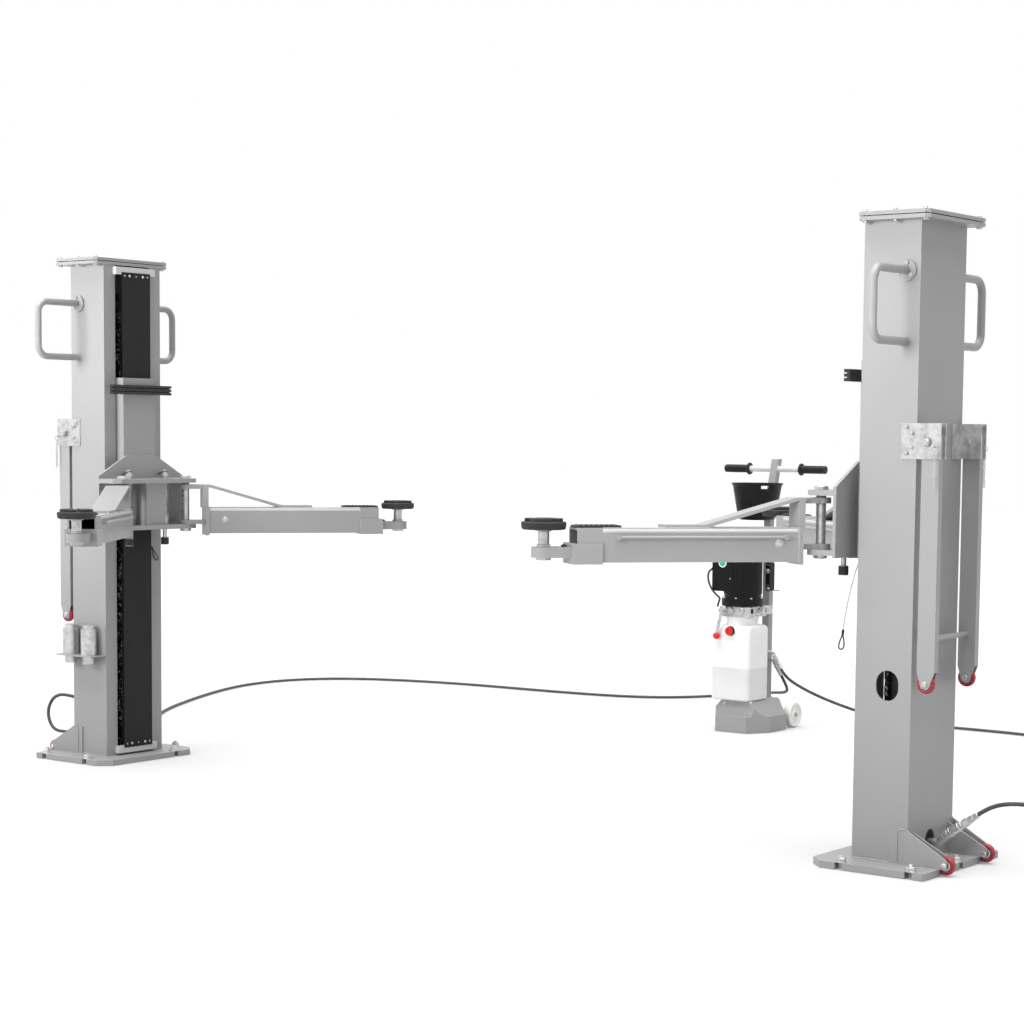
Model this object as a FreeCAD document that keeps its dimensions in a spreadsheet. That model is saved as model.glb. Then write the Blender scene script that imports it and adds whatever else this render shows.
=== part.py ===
import FreeCAD, Part
import math
import os
import re
import Sketcher

# Two post car lift with a pump trolley, in millimetres.
# The origin lies on the floor under the centre of the left column.
# X runs from the left post to the right post, Z is up, and -Y is the near side.
# A post is drawn once, as the left one, and mirrored about the middle of the lift.

document = FreeCAD.newDocument("two_post_lift")

SIZES = [
    # posts
    ("post_spacing", 3440, "left column centre to right column centre"),
    ("column_top", 1900, "top of the columns above the floor"),
    ("column_depth", 184, "column size along X"),
    ("column_width", 289, "column size along Y"),
    ("column_wall", 6, "column sheet"),
    ("column_mouth", 175, "width of the open front"),
    ("window_width", 74, "oval service window in the side face"),
    ("window_low", 499, "lowest point of the window"),
    ("window_high", 589, "highest point of the window"),
    ("window_offset", 14, "window centre behind the column centre"),
    ("outlet_width", 62, "arched hose outlet in the back face"),
    ("outlet_low", 46, "foot of the outlet"),
    ("outlet_high", 108, "crown of the outlet"),
    # base plate
    ("base_thick", 20, "base plate thickness"),
    ("base_front", 190, "base plate edge in front of the column centre"),
    ("base_back", 200, "base plate edge behind the column centre"),
    ("base_half_width", 248, "base plate half width"),
    ("base_chamfer", 46, "cut front corner of the base plate"),
    ("base_back_chamfer", 6, "cut back corner of the base plate"),
    ("anchor_slot", 24, "anchor slot width"),
    ("anchor_slot_depth", 30, "anchor slot length from the edge"),
    ("anchor_front", 80, "front side slot ahead of the column centre"),
    ("anchor_back", 150, "back side slot behind the column centre"),
    ("anchor_back_edge", 6, "slot in the back edge, near side"),
    ("anchor_front_edge", 130, "slot in the front edge, far side"),
    # gussets and tipping wheels
    ("gusset_thick", 6, "gusset plate"),
    ("gusset_top", 123, "top of the outer gusset"),
    ("gusset_lap", 52, "lap of the outer gusset on the side face"),
    ("gusset_nose", 17, "height of the gusset nose above its axle"),
    ("inner_gusset_face", 113, "inboard face of the inner gusset from the middle"),
    ("inner_gusset_top", 115, "top of the inner gusset"),
    ("tip_axle_back", 214, "tipping wheel axle behind the column centre"),
    ("tip_axle_high", 30, "tipping wheel axle above the floor"),
    ("tip_wheel_radius", 28, "tipping wheel radius"),
    ("tip_wheel_width", 20, "tipping wheel width"),
    ("axle_radius", 6, "axle of the small wheels"),
    ("running_gap", 0.1, "radial play of pins and axles"),
    ("rest_gap", 0.3, "play where one piece slides or rests on another"),
    ("side_play", 1, "play beside a wheel or a fork"),
    ("notch_play", 6, "clearance round the wheel in the base plate"),
    # top plates
    ("cap_back", 136, "top plate edge behind the column centre"),
    ("cap_front", 94, "top plate edge in front of the column centre"),
    ("cap_half_width", 189, "top plate half width"),
    ("cap_thick", 11, "each top plate"),
    ("cap_gap", 3, "gap between the top plates"),
    ("cap_corner", 12, "cut corner of the top plates"),
    ("cap_spacer_inset", 20, "spacer inside the edge of the top plates"),
    ("cap_bolt_side", 172, "bolt of the top plates from the middle"),
    ("cap_bolt_inset", 18, "end bolts inside the edge of the top plates"),
    ("cap_bolt_radius", 6, "bolt head on the top plates"),
    ("cap_bolt_high", 6.5, "height of a bolt head on the top plates"),
    # grab handles
    ("grab_tube", 12.5, "grab handle tube radius"),
    ("grab_back", 48, "grab handle behind the column centre"),
    ("grab_top", 1755, "upper leg of the grab handle"),
    ("grab_low", 1550, "lower leg of the grab handle"),
    ("grab_reach", 200, "grab handle centreline out of the side face"),
    ("grab_bend", 42, "bend radius of the grab handle"),
    ("grab_flange", 32, "radius of the bolted flange"),
    ("grab_flange_thick", 8, "thickness of the bolted flange"),
    # cover strip
    ("strip_half_width", 72, "half width of the cover strip"),
    ("strip_face", 115, "front of the cover strip ahead of the column centre"),
    ("strip_thick", 2.5, "cover strip thickness"),
    ("strip_low", 28, "foot of the lower strip clamp"),
    ("strip_top_gap", 7, "upper strip clamp below the top of the column"),
    ("strip_inset", 20, "clamp beyond each end of the cover strip"),
    ("clamp_high", 28, "height of the strip clamps"),
    ("clamp_half_width", 100, "half width of the strip clamps"),
    # lifting cylinder inside the column
    ("cylinder_radius", 38, "lifting cylinder tube radius"),
    ("cylinder_back", 38, "lifting cylinder behind the column centre"),
    ("cylinder_drop", 480, "top of the cylinder tube below the top of the column"),
    ("ram_radius", 24, "ram radius"),
    ("ram_drop", 160, "top of the ram below the top of the column"),
    ("sheave_radius", 44, "chain sheave radius"),
    ("sheave_width", 34, "chain sheave width"),
    # carriage
    ("slide_low", 890, "foot of the left carriage"),
    ("slide_high", 1473, "top of the left carriage"),
    ("right_rise", 27, "the right carriage stands this much higher"),
    ("tube_half_width", 82, "carriage tube half width"),
    ("tube_wall", 4.5, "carriage tube wall"),
    ("tube_front", 129, "carriage tube front ahead of the column centre"),
    ("tube_back", 18, "back edge of the carriage side walls"),
    ("shoe_front", 80, "front of the carriage shoes"),
    ("shoe_back", 40, "back of the carriage shoes"),
    ("bumper_half_width", 150, "door bumper half width"),
    ("bumper_thick", 20, "door bumper thickness"),
    ("bumper_low", 1410, "foot of the door bumper"),
    ("bumper_high", 1446, "top of the door bumper"),
    # arm mount
    ("mount_thick", 10, "back plate of the arm mount"),
    ("mount_half_width", 217, "arm mount half width"),
    ("mount_shoulder", 1100, "shoulder height of the back plate"),
    ("mount_top", 1175, "top of the back plate"),
    ("mount_top_half", 80, "half width of the top edge"),
    ("jaw_front", 238, "front edge of the jaw plates"),
    ("jaw_corner", 24, "cut corner of the jaw plates"),
    ("jaw_upper", 1073, "underside of the upper jaw plate"),
    ("jaw_lower", 896, "underside of the lower jaw plate"),
    ("jaw_thick", 16, "jaw plate thickness"),
    ("spine_half_width", 49, "half width of the box between the jaws"),
    ("spine_front", 219, "front of the box between the jaws"),
    ("pivot_out", 209, "arm pivot ahead of the column centre"),
    ("pivot_side", 165, "arm pivot from the middle"),
    ("pivot_radius", 15, "arm pivot pin radius"),
    ("pivot_cap_radius", 21, "arm pivot cap radius"),
    ("pivot_cap_thick", 10, "arm pivot cap thickness"),
    # lock pins
    ("lock_out", 169, "lock pin ahead of the column centre"),
    ("lock_side", 93, "lock pin from the middle"),
    ("lock_radius", 8.5, "lock pin radius"),
    ("lock_top", 1123, "top of the lock pin"),
    ("lock_ring_radius", 14, "grip ring radius"),
    ("lock_ring_low", 1098, "underside of the grip ring"),
    ("lock_ring_thick", 9, "grip ring thickness"),
    ("lock_collar_radius", 14, "lock collar radius"),
    ("lock_collar_high", 948, "top of the collar"),
    ("lock_foot_radius", 15, "foot radius"),
    ("lock_foot_low", 833, "underside of the foot"),
    ("lock_foot_high", 861, "top of the foot"),
    # arms
    ("fork_radius", 30, "eye radius of the fork plates"),
    ("fork_half_width", 28, "half width of the fork plates"),
    ("fork_upper", 1049, "underside of the upper fork plate"),
    ("fork_upper_thick", 17, "upper fork plate thickness"),
    ("fork_lower_thick", 16, "lower fork plate thickness"),
    ("root_start", 72, "root plate from the pivot"),
    ("root_end", 84, "start of the arm tube from the pivot"),
    ("root_extra", 8, "root plate beyond the arm tube"),
    ("arm_end", 760, "end of the arm tube from the pivot"),
    ("arm_half_width", 50, "arm tube half width"),
    ("arm_low", 877, "underside of the arm tube"),
    ("arm_high", 977, "top of the arm tube"),
    ("arm_wall", 6, "arm tube wall"),
    ("post_thick", 20, "upright bar thickness"),
    ("post_half_width", 44, "upright bar half width"),
    ("brace_start", 92, "upper end of the brace from the pivot"),
    ("brace_flat", 30, "flat upper end of the brace"),
    ("brace_foot", 376, "foot of the brace from the pivot"),
    ("brace_end", 492, "end of the brace tab from the pivot"),
    ("brace_thick", 9, "brace thickness"),
    ("brace_half_width", 44, "brace half width"),
    ("keeper_start", 128, "root end of the keeper rod from the pivot"),
    ("keeper_end", 640, "tip end of the keeper rod from the pivot"),
    ("keeper_high", 950, "height of the keeper rod"),
    ("keeper_radius", 5, "keeper rod radius"),
    ("keeper_stand", 10, "keeper rod out of the side of the arm tube"),
    ("keeper_lug", 12, "keeper lug size"),
    ("sleeve_start", 686, "start of the guide sleeve from the pivot"),
    ("sleeve_end", 776, "end of the guide sleeve from the pivot"),
    ("sleeve_low", 872, "underside of the guide sleeve"),
    ("sleeve_high", 932, "top of the guide sleeve"),
    ("sleeve_half_width", 57, "guide sleeve half width"),
    # inner arms
    ("bar_low", 890, "underside of the inner arm"),
    ("bar_thick", 31, "inner arm thickness"),
    ("bar_half_width", 36, "inner arm half width"),
    ("bar_start", 230, "root end of the inner arm from the pivot"),
    ("guide_length", 60, "slide guide at the root end of the inner arm"),
    ("pad_reach", 849, "pad centre from the pivot"),
    ("stem_radius", 14, "pad stem radius"),
    ("pad_radius", 66, "pad radius"),
    ("pad_low", 971, "underside of the pad"),
    ("pad_thick", 33, "pad thickness"),
    ("nut_radius", 23, "pad nut radius"),
    ("nut_thick", 8, "pad nut thickness"),
    # arm directions at rest, in degrees from +X
    ("left_far_turn", 54, "left far arm"),
    ("left_near_turn", -53, "left near arm"),
    ("right_near_turn", -129.5, "right near arm"),
    ("right_far_turn", 140.5, "right far arm"),
    # transport legs
    ("leg_back", 137, "leg centreline behind the column centre"),
    ("leg_depth", 56, "leg tube size along X"),
    ("leg_width", 24, "leg tube size along Y"),
    ("leg_out", 143.5, "outer face of a leg from the middle"),
    ("leg_pivot_back", 128, "leg pivot behind the column centre"),
    ("leg_pivot_high", 1260, "leg pivot above the floor"),
    ("leg_pin_radius", 8, "leg pivot pin radius"),
    ("leg_foot", 592, "foot of the leg tube"),
    ("leg_cheek", 3, "fork cheek beside the leg wheel"),
    ("leg_cheek_lap", 30, "lap of the fork cheek on the leg tube"),
    ("leg_wheel_back", 135, "leg wheel axle behind the column centre"),
    ("leg_wheel_high", 556, "leg wheel axle above the floor"),
    ("leg_wheel_radius", 28, "leg wheel radius"),
    ("cross_bar_high", 688, "cross bar above the floor"),
    ("cross_bar_radius", 8, "cross bar radius"),
    ("bracket_thick", 4, "leg bracket plates"),
    ("bracket_low", 1211, "foot of the leg brackets"),
    ("bracket_high", 1315, "top of the leg brackets"),
    ("bracket_front", 43, "front edge of the outer bracket plate"),
    ("bracket_back", 171, "back edge of the bracket plates"),
    ("inner_bracket", 113, "inboard face of the inner bracket plate"),
    ("bracket_tab", 38, "tab of the inner bracket on the back face"),
    # adapter rack on the near side of the left column
    ("rack_shelf", 407, "underside of the rack shelf"),
    ("rack_thick", 4, "rack sheet"),
    ("rack_front", 92, "rack edge ahead of the column centre"),
    ("rack_back", 104, "rack edge behind the column centre"),
    ("rack_deep", 78, "rack shelf out of the side face"),
    ("rack_top", 520, "top of the rack back plate"),
    ("adapter_radius", 23, "adapter stem radius"),
    ("adapter_collar", 30, "adapter collar radius"),
    ("adapter_low", 378, "foot of an adapter"),
    ("adapter_top", 526, "top of an adapter"),
    ("adapter_first", -62, "first adapter from the column centre"),
    ("adapter_second", 40, "second adapter from the column centre"),
    ("adapter_out", 41, "adapter centre out of the side face"),
    ("adapter_play", 1, "play of an adapter in the rack"),
    # pump trolley
    ("trolley_across", 1455, "trolley middle along X"),
    ("mast_away", 2483, "mast centre along Y"),
    ("axle_stand", 42, "trolley axle behind the mast centre"),
    ("trolley_wheel_radius", 55.5, "trolley wheel radius"),
    ("trolley_wheel_width", 34, "trolley wheel width"),
    ("trolley_wheel_side", 112, "trolley wheel from the trolley middle"),
    ("trolley_axle_radius", 8, "trolley axle radius"),
    ("tray_front", 293, "front edge of the tray ahead of the mast centre"),
    ("tray_shoulder", 193, "widest line of the tray ahead of the mast centre"),
    ("tray_waist", 53, "line where the tray narrows ahead of the mast centre"),
    ("tray_back", 62, "back edge of the tray behind the mast centre"),
    ("tray_front_half", 77, "half width of the tray front"),
    ("tray_half", 137, "half width of the tray"),
    ("tray_back_half", 84, "half width of the tray between the wheels"),
    ("tray_top", 70, "top of the tray"),
    ("tray_sheet", 6, "tray sheet"),
    ("hump_top", 133, "top of the raised middle of the tray under the tank"),
    ("hump_half", 72, "half width of the top of the raised middle"),
    ("hump_slope", 55, "foot of the raised middle beyond its top, on each side"),
    ("hump_front", 270, "front edge of the raised middle ahead of the mast centre"),
    ("mast_size", 33, "mast tube size"),
    ("mast_bend", 965, "height of the bend in the mast"),
    ("mast_top", 1175, "top of the mast"),
    ("mast_lean", 15, "lean of the upper mast in degrees"),
    ("bar_high", 1132, "handlebar above the floor"),
    ("bar_half", 252, "handlebar half length"),
    ("bar_radius", 13, "handlebar radius"),
    ("grip_length", 128, "grip length"),
    ("grip_radius", 18, "grip radius"),
    ("grip_flange", 27, "grip flange radius"),
    ("grip_flange_thick", 12, "grip flange thickness"),
    ("basket_stand", 104, "basket centre ahead of the mast centre"),
    ("basket_low", 913, "foot of the basket"),
    ("basket_high", 1072, "rim of the basket"),
    ("basket_radius", 112, "rim radius of the basket"),
    ("basket_foot_radius", 58, "foot radius of the basket"),
    ("basket_wall", 3, "basket wall"),
    ("tank_stand", 193, "tank neck ahead of the mast centre"),
    ("pump_left", 9, "tank neck, pump and motor to the left of the mast"),
    ("tank_left", 107, "left side of the tank from its neck"),
    ("tank_right", 87, "right side of the tank from its neck"),
    ("tank_half_depth", 82, "tank half depth along Y"),
    ("tank_high", 461, "top of the tank"),
    ("shoulder_wide", 50, "width of the sloped left shoulder of the tank"),
    ("shoulder_drop", 56, "height of the sloped left shoulder of the tank"),
    ("neck_radius", 70, "tank neck radius"),
    ("neck_high", 498, "top of the tank neck"),
    ("block_half", 78, "half width of the pump block"),
    ("block_high", 542, "top of the pump block"),
    ("valve_radius", 15, "valve radius"),
    ("valve_reach", 92, "valve tips from the middle of the block"),
    ("motor_radius", 84, "motor radius"),
    ("motor_high", 860, "top of the motor"),
    ("motor_foot_radius", 92, "radius of the flange at the motor's foot"),
    ("motor_foot_high", 577, "top of the flange at the motor's foot"),
    ("starter_left", 110, "left side of the starter box from the motor centre"),
    ("starter_width", 112, "starter box size along X"),
    ("starter_front", 80, "front of the starter box ahead of the motor centre"),
    ("starter_back", 20, "back of the starter box ahead of the motor centre"),
    ("starter_low", 605, "foot of the starter box"),
    ("starter_high", 800, "top of the starter box"),
    ("switch_low", 600, "foot of the switch box"),
    ("switch_high", 726, "top of the switch box"),
    ("switch_width", 26, "switch box size along X"),
    ("switch_depth", 46, "switch box size along Y"),
    ("switch_lap", 8, "lap of the switch box on the side of the mast"),
    ("lever_high", 530, "lowering lever root above the floor"),
    ("lever_left", 41, "lowering lever root from the middle of the block"),
    ("lever_reach", 22, "lowering lever out of the face of the block"),
    ("lever_swing", 28, "lever knob left of the lever root"),
    ("lever_drop", 116, "lever knob below the lever root"),
    ("lever_radius", 4, "lowering lever rod radius"),
    ("knob_radius", 16, "red knob radius"),
    ("filler_radius", 21, "filler cap radius"),
    ("filler_left", 8, "filler cap to the left of the tank neck"),
    ("filler_high", 437, "filler cap above the floor"),
    ("filler_thick", 20, "filler cap thickness"),
    # hoses
    ("hose_radius", 6.5, "hose radius"),
    ("fitting_radius", 8, "hose fitting radius"),
    ("fitting_length", 60, "hose fitting from its elbow to the hose"),
    ("coupler_radius", 11, "quick coupler radius"),
    ("coupler_length", 135, "quick coupler from its elbow to the hose"),
]

sheet = document.addObject("Spreadsheet::Sheet", "Sizes")
size = {}
for row, (name, value, note) in enumerate(SIZES, start=1):
    sheet.set("A%d" % row, name)
    sheet.set("B%d" % row, str(value))
    sheet.set("C%d" % row, note)
    sheet.setAlias("B%d" % row, name)
    size[name] = float(value)
document.recompute()

FUNCTIONS = {"sin", "cos", "tan", "sqrt", "abs", "min", "max"}
made = [0]


def linked(expression):
    """An expression in which every size name points at its cell."""
    def point(match):
        word = match.group(0)
        return word if word in FUNCTIONS else "Sizes." + word
    return re.sub(r"[a-z][a-z_]+", point, expression)


def bind(feature, prop, expression):
    """Tie one property of a feature to an expression of the named sizes."""
    feature.setExpression(prop, linked(expression))


def start(kind, label):
    """A new feature with a label of its own."""
    made[0] += 1
    feature = document.addObject(kind, "%s_%d" % (label, made[0]))
    return feature


def place(feature, x="0", y="0", z="0"):
    """Bind the three coordinates of a feature's placement."""
    bind(feature, "Placement.Base.x", x)
    bind(feature, "Placement.Base.y", y)
    bind(feature, "Placement.Base.z", z)


def block(label, x, y, z):
    """A box between two expressions on each axis."""
    feature = start("Part::Box", label)
    bind(feature, "Length", "(%s) - (%s)" % (x[1], x[0]))
    bind(feature, "Width", "(%s) - (%s)" % (y[1], y[0]))
    bind(feature, "Height", "(%s) - (%s)" % (z[1], z[0]))
    place(feature, x[0], y[0], z[0])
    return feature


TURNS = {
    "x": FreeCAD.Rotation(FreeCAD.Vector(0, 1, 0), 90),
    "y": FreeCAD.Rotation(FreeCAD.Vector(1, 0, 0), -90),
    "z": FreeCAD.Rotation(),
}


def along(axis, span, across):
    """Coordinates of the low end of a round piece that lies along an axis."""
    return {
        "x": (span[0], across[0], across[1]),
        "y": (across[0], span[0], across[1]),
        "z": (across[0], across[1], span[0]),
    }[axis]


def rod(label, axis, across, span, radius):
    """A cylinder along an axis: its two other coordinates, its ends and its radius."""
    feature = start("Part::Cylinder", label)
    feature.Placement = FreeCAD.Placement(FreeCAD.Vector(), TURNS[axis])
    bind(feature, "Radius", radius)
    bind(feature, "Height", "(%s) - (%s)" % (span[1], span[0]))
    place(feature, *along(axis, span, across))
    return feature


def taper(label, across, span, low_radius, high_radius):
    """An upright cone between two radii."""
    feature = start("Part::Cone", label)
    bind(feature, "Radius1", low_radius)
    bind(feature, "Radius2", high_radius)
    bind(feature, "Height", "(%s) - (%s)" % (span[1], span[0]))
    place(feature, *along("z", span, across))
    return feature


def join(label, *pieces):
    """One solid made of pieces that meet or overlap."""
    feature = start("Part::MultiFuse", label)
    feature.Shapes = list(pieces)
    feature.Refine = True
    return feature


def cut(label, base, *tools):
    """A base with one or more tools taken away."""
    feature = start("Part::Cut", label)
    feature.Base = base
    feature.Tool = tools[0] if len(tools) == 1 else join(label + "_tools", *tools)
    return feature


def common(label, *pieces):
    """What two or more pieces share."""
    feature = start("Part::MultiCommon", label)
    feature.Shapes = list(pieces)
    return feature


def group(label, *pieces):
    """Separate solids of one node."""
    feature = start("Part::Compound", label)
    feature.Links = list(pieces)
    return feature


def mirrored(label, piece, normal=(1, 0, 0), middle="post_spacing / 2"):
    """The mirror image of a piece about a plane across X or Y."""
    feature = start("Part::Mirroring", label)
    feature.Source = piece
    feature.Normal = FreeCAD.Vector(*normal)
    if normal[0]:
        bind(feature, "Base.x", middle)
    return feature


def far_copy(label, piece):
    """The same piece on the far side of the lift's middle line."""
    return mirrored(label, piece, normal=(0, 1, 0))


def origin_plane(body, role):
    """A body's own origin plane, found by its role."""
    for feature in body.Origin.OriginFeatures:
        if feature.Role == role:
            return feature
    raise ValueError("no origin plane " + role)


def plate(label, plane, corners, low, high):
    """A flat plate: an outline of bound corners on an origin plane, padded between two levels."""
    body = start("PartDesign::Body", label)
    sketch = body.newObject("Sketcher::SketchObject", body.Name + "_outline")
    sketch.AttachmentSupport = [(origin_plane(body, plane + "_Plane"), "")]
    sketch.MapMode = "FlatFace"
    count = len(corners)
    spots = [FreeCAD.Vector(100 * math.cos(2 * math.pi * i / count),
                            100 * math.sin(2 * math.pi * i / count), 0) for i in range(count)]
    for i in range(count):
        sketch.addGeometry(Part.LineSegment(spots[i], spots[(i + 1) % count]), False)
    for i in range(count):
        sketch.addConstraint(Sketcher.Constraint("Coincident", i, 2, (i + 1) % count, 1))
    for i, (across, up) in enumerate(corners):
        for kind, expression in (("DistanceX", across), ("DistanceY", up)):
            number = sketch.addConstraint(Sketcher.Constraint(kind, -1, 1, i, 1, 50.0 + i))
            bind(sketch, "Constraints[%d]" % number, expression)
    backward = plane == "XZ"
    bind(sketch, "AttachmentOffset.Base.z", "-(%s)" % high if backward else low)
    pad = body.newObject("PartDesign::Pad", body.Name + "_pad")
    pad.Profile = sketch
    bind(pad, "Length", "(%s) - (%s)" % (high, low))
    return body


nodes = []


def node(label, feature):
    """Name the finished shape of one node."""
    feature.Label = label
    nodes.append(feature)
    return feature


def point(*expressions):
    """A point from numbers that part.py has worked out of the sheet."""
    return FreeCAD.Vector(*expressions)


def bent_path(points, radii):
    """Straight runs joined by tangent arcs, one arc for each inner point."""
    edges = []
    last = points[0]
    for i in range(1, len(points) - 1):
        back = (points[i - 1] - points[i]).normalize()
        ahead = (points[i + 1] - points[i]).normalize()
        half_turn = (math.pi - back.getAngle(ahead)) / 2
        trim = radii[i - 1] * math.tan(half_turn)
        first = points[i] + back * trim
        second = points[i] + ahead * trim
        bisector = (back + ahead).normalize()
        centre = points[i] + bisector * (radii[i - 1] / math.cos(half_turn))
        middle = centre - bisector * radii[i - 1]
        edges.append(Part.LineSegment(last, first).toShape())
        edges.append(Part.Arc(first, middle, second).toShape())
        last = second
    edges.append(Part.LineSegment(last, points[-1]).toShape())
    return Part.Wire(edges)


def bent_tube(label, points, radii, radius):
    """A round bar or tube along a bent path, as one solid."""
    path = bent_path(points, radii)
    direction = points[1] - points[0]
    ring = Part.Wire([Part.Circle(points[0], direction, radius).toShape()])
    shape = path.makePipeShell([ring], True, False)
    feature = start("Part::Feature", label)
    feature.Shape = shape
    return feature


# columns
half_depth = "column_depth / 2"
half_width = "column_width / 2"
outer = block("column_outer", ("-%s" % half_depth, half_depth), ("-%s" % half_width, half_width),
              ("base_thick", "column_top"))
inner = block("column_inner", ("-%s + column_wall" % half_depth, half_depth + " - column_wall"),
              ("-%s + column_wall" % half_width, half_width + " - column_wall"),
              ("base_thick - 1", "column_top + 1"))
mouth = block("column_mouth", ("0", "column_depth"), ("-column_mouth / 2", "column_mouth / 2"),
              ("base_thick - 1", "column_top + 1"))
outlet_arch = rod("outlet_arch", "x", ("0", "outlet_high - outlet_width / 2"),
                  ("-column_depth", "0"), "outlet_width / 2")
outlet_foot = block("outlet_foot", ("-column_depth", "0"), ("-outlet_width / 2", "outlet_width / 2"),
                    ("outlet_low", "outlet_high - outlet_width / 2"))
window_span = ("-column_width", "0")
window_parts = [
    rod("window_low", "y", ("-window_offset", "window_low + window_width / 2"), window_span,
        "window_width / 2"),
    rod("window_high", "y", ("-window_offset", "window_high - window_width / 2"), window_span,
        "window_width / 2"),
    block("window_middle", ("-window_offset - window_width / 2", "-window_offset + window_width / 2"),
          window_span, ("window_low + window_width / 2", "window_high - window_width / 2")),
]
left_shell = cut("left_shell", outer, inner, mouth, outlet_arch, outlet_foot)
node("left_column", left_shell)
window_cut = cut("window_cut", cut("right_shell", outer, inner, mouth, outlet_arch, outlet_foot),
                 *window_parts)
node("right_column", mirrored("right_column", window_cut))

# base plates with anchor slots and notches for the tipping wheels
edge = "base_half_width"
corner = "base_chamfer"
back_corner = "base_back_chamfer"
base_outline = [
    ("-base_back", "-%s + %s" % (edge, back_corner)), ("-base_back + %s" % back_corner, "-" + edge),
    ("base_front - %s" % corner, "-" + edge), ("base_front", "-%s + %s" % (edge, corner)),
    ("base_front", "%s - %s" % (edge, corner)), ("base_front - %s" % corner, edge),
    ("-base_back + %s" % back_corner, edge), ("-base_back", "%s - %s" % (edge, back_corner)),
]
base_blank = plate("base_blank", "XY", base_outline, "0", "base_thick")
through = ("-1", "base_thick + 1")


def side_slot(x, side):
    """An anchor slot that opens into a side edge of the base plate."""
    inner_end = "base_half_width - anchor_slot_depth + anchor_slot / 2"
    outer_end = "base_half_width + 1"
    span = (inner_end, outer_end) if side > 0 else ("-(%s)" % outer_end, "-(%s)" % inner_end)
    end = inner_end if side > 0 else "-(%s)" % inner_end
    channel = block("slot", ("%s - anchor_slot / 2" % x, "%s + anchor_slot / 2" % x), span, through)
    round_end = rod("slot_end", "z", (x, end), through, "anchor_slot / 2")
    return [channel, round_end]


def end_slot(y, side):
    """An anchor slot that opens into the front or back edge of the base plate."""
    edge_name = "base_front" if side > 0 else "base_back"
    inner_end = "%s - anchor_slot_depth + anchor_slot / 2" % edge_name
    outer_end = "%s + 1" % edge_name
    span = (inner_end, outer_end) if side > 0 else ("-(%s)" % outer_end, "-(%s)" % inner_end)
    end = inner_end if side > 0 else "-(%s)" % inner_end
    channel = block("slot", span, ("%s - anchor_slot / 2" % y, "%s + anchor_slot / 2" % y), through)
    round_end = rod("slot_end", "z", (end, y), through, "anchor_slot / 2")
    return [channel, round_end]


slots = []
for side in (-1, 1):
    slots += side_slot("anchor_front", side)
    slots += side_slot("-anchor_back", side)
slots += end_slot("-anchor_back_edge", -1)
slots += end_slot("anchor_front_edge", 1)
wheel_middle = "(inner_gusset_face + gusset_thick + column_width / 2) / 2"
notch_half = "tip_wheel_width / 2 + side_play + 1"
for side in ("", "-"):
    low = "%s(%s) - (%s)" % (side, wheel_middle, notch_half)
    high = "%s(%s) + (%s)" % (side, wheel_middle, notch_half)
    slots.append(block("wheel_notch", ("-base_back - 1", "-tip_axle_back + tip_wheel_radius + notch_play"),
                       (low, high), through))
left_base = cut("left_base", base_blank, *slots)
node("base_plates", group("base_plates", left_base, mirrored("right_base", left_base)))

# gussets: an outer plate lapped on each side face and an inner plate beside each wheel
nose = "-tip_axle_back - tip_wheel_radius / 3"
outer_gusset_outline = [
    ("-column_depth / 2 + gusset_lap", "base_thick"), ("-column_depth / 2 + gusset_lap", "gusset_top"),
    ("-column_depth / 2", "gusset_top"), (nose, "tip_axle_high + gusset_nose"), (nose, "base_thick"),
]
inner_gusset_outline = [
    ("-column_depth / 2", "base_thick"), ("-column_depth / 2", "inner_gusset_top"),
    (nose, "tip_axle_high + gusset_nose"), (nose, "base_thick"),
]
axle_spot = ("-tip_axle_back", "tip_axle_high")
outer_face = "column_width / 2"
outer_gusset = plate("outer_gusset", "XZ", outer_gusset_outline, outer_face,
                     outer_face + " + gusset_thick")
inner_gusset = plate("inner_gusset", "XZ", inner_gusset_outline, "inner_gusset_face",
                     "inner_gusset_face + gusset_thick")
tip_axle = rod("tip_axle", "y", axle_spot, ("inner_gusset_face - 4", outer_face + " + gusset_thick + 5"),
               "axle_radius")
far_gusset = join("far_gusset", outer_gusset, inner_gusset, tip_axle)
near_gusset = far_copy("near_gusset", far_gusset)
left_gussets = group("left_gussets", far_gusset, near_gusset)
node("base_gussets", group("base_gussets", left_gussets, mirrored("right_gussets", left_gussets)))


def wheel(label, across, middle, width, radius, axle):
    """A wheel on an axle along Y."""
    span = ("%s - (%s) / 2" % (middle, width), "%s + (%s) / 2" % (middle, width))
    disc = rod(label + "_disc", "y", across, span, radius)
    hole = rod(label + "_hole", "y", across, ("%s - 1" % span[0], "%s + 1" % span[1]),
               axle + " + running_gap")
    return cut(label, disc, hole)


far_tip_wheel = wheel("far_tip_wheel", axle_spot, wheel_middle, "tip_wheel_width", "tip_wheel_radius",
                      "axle_radius")
left_tip_wheels = group("left_tip_wheels", far_tip_wheel, far_copy("near_tip_wheel", far_tip_wheel))
node("left_base_wheels", left_tip_wheels)
node("right_base_wheels", mirrored("right_base_wheels", left_tip_wheels))


# top plates
def cap(label, inset, low, high):
    """One plate of the stack on top of a column, set in from the largest outline."""
    back = "-cap_back + %s" % inset
    front = "cap_front - %s" % inset
    side = "(cap_half_width - %s)" % inset
    outline = [
        (back, "-%s + cap_corner" % side), (back + " + cap_corner", "-" + side),
        (front + " - cap_corner", "-" + side), (front, "-%s + cap_corner" % side),
        (front, "%s - cap_corner" % side), (front + " - cap_corner", side),
        (back + " + cap_corner", side), (back, "%s - cap_corner" % side),
    ]
    return plate(label, "XY", outline, low, high)


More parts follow.
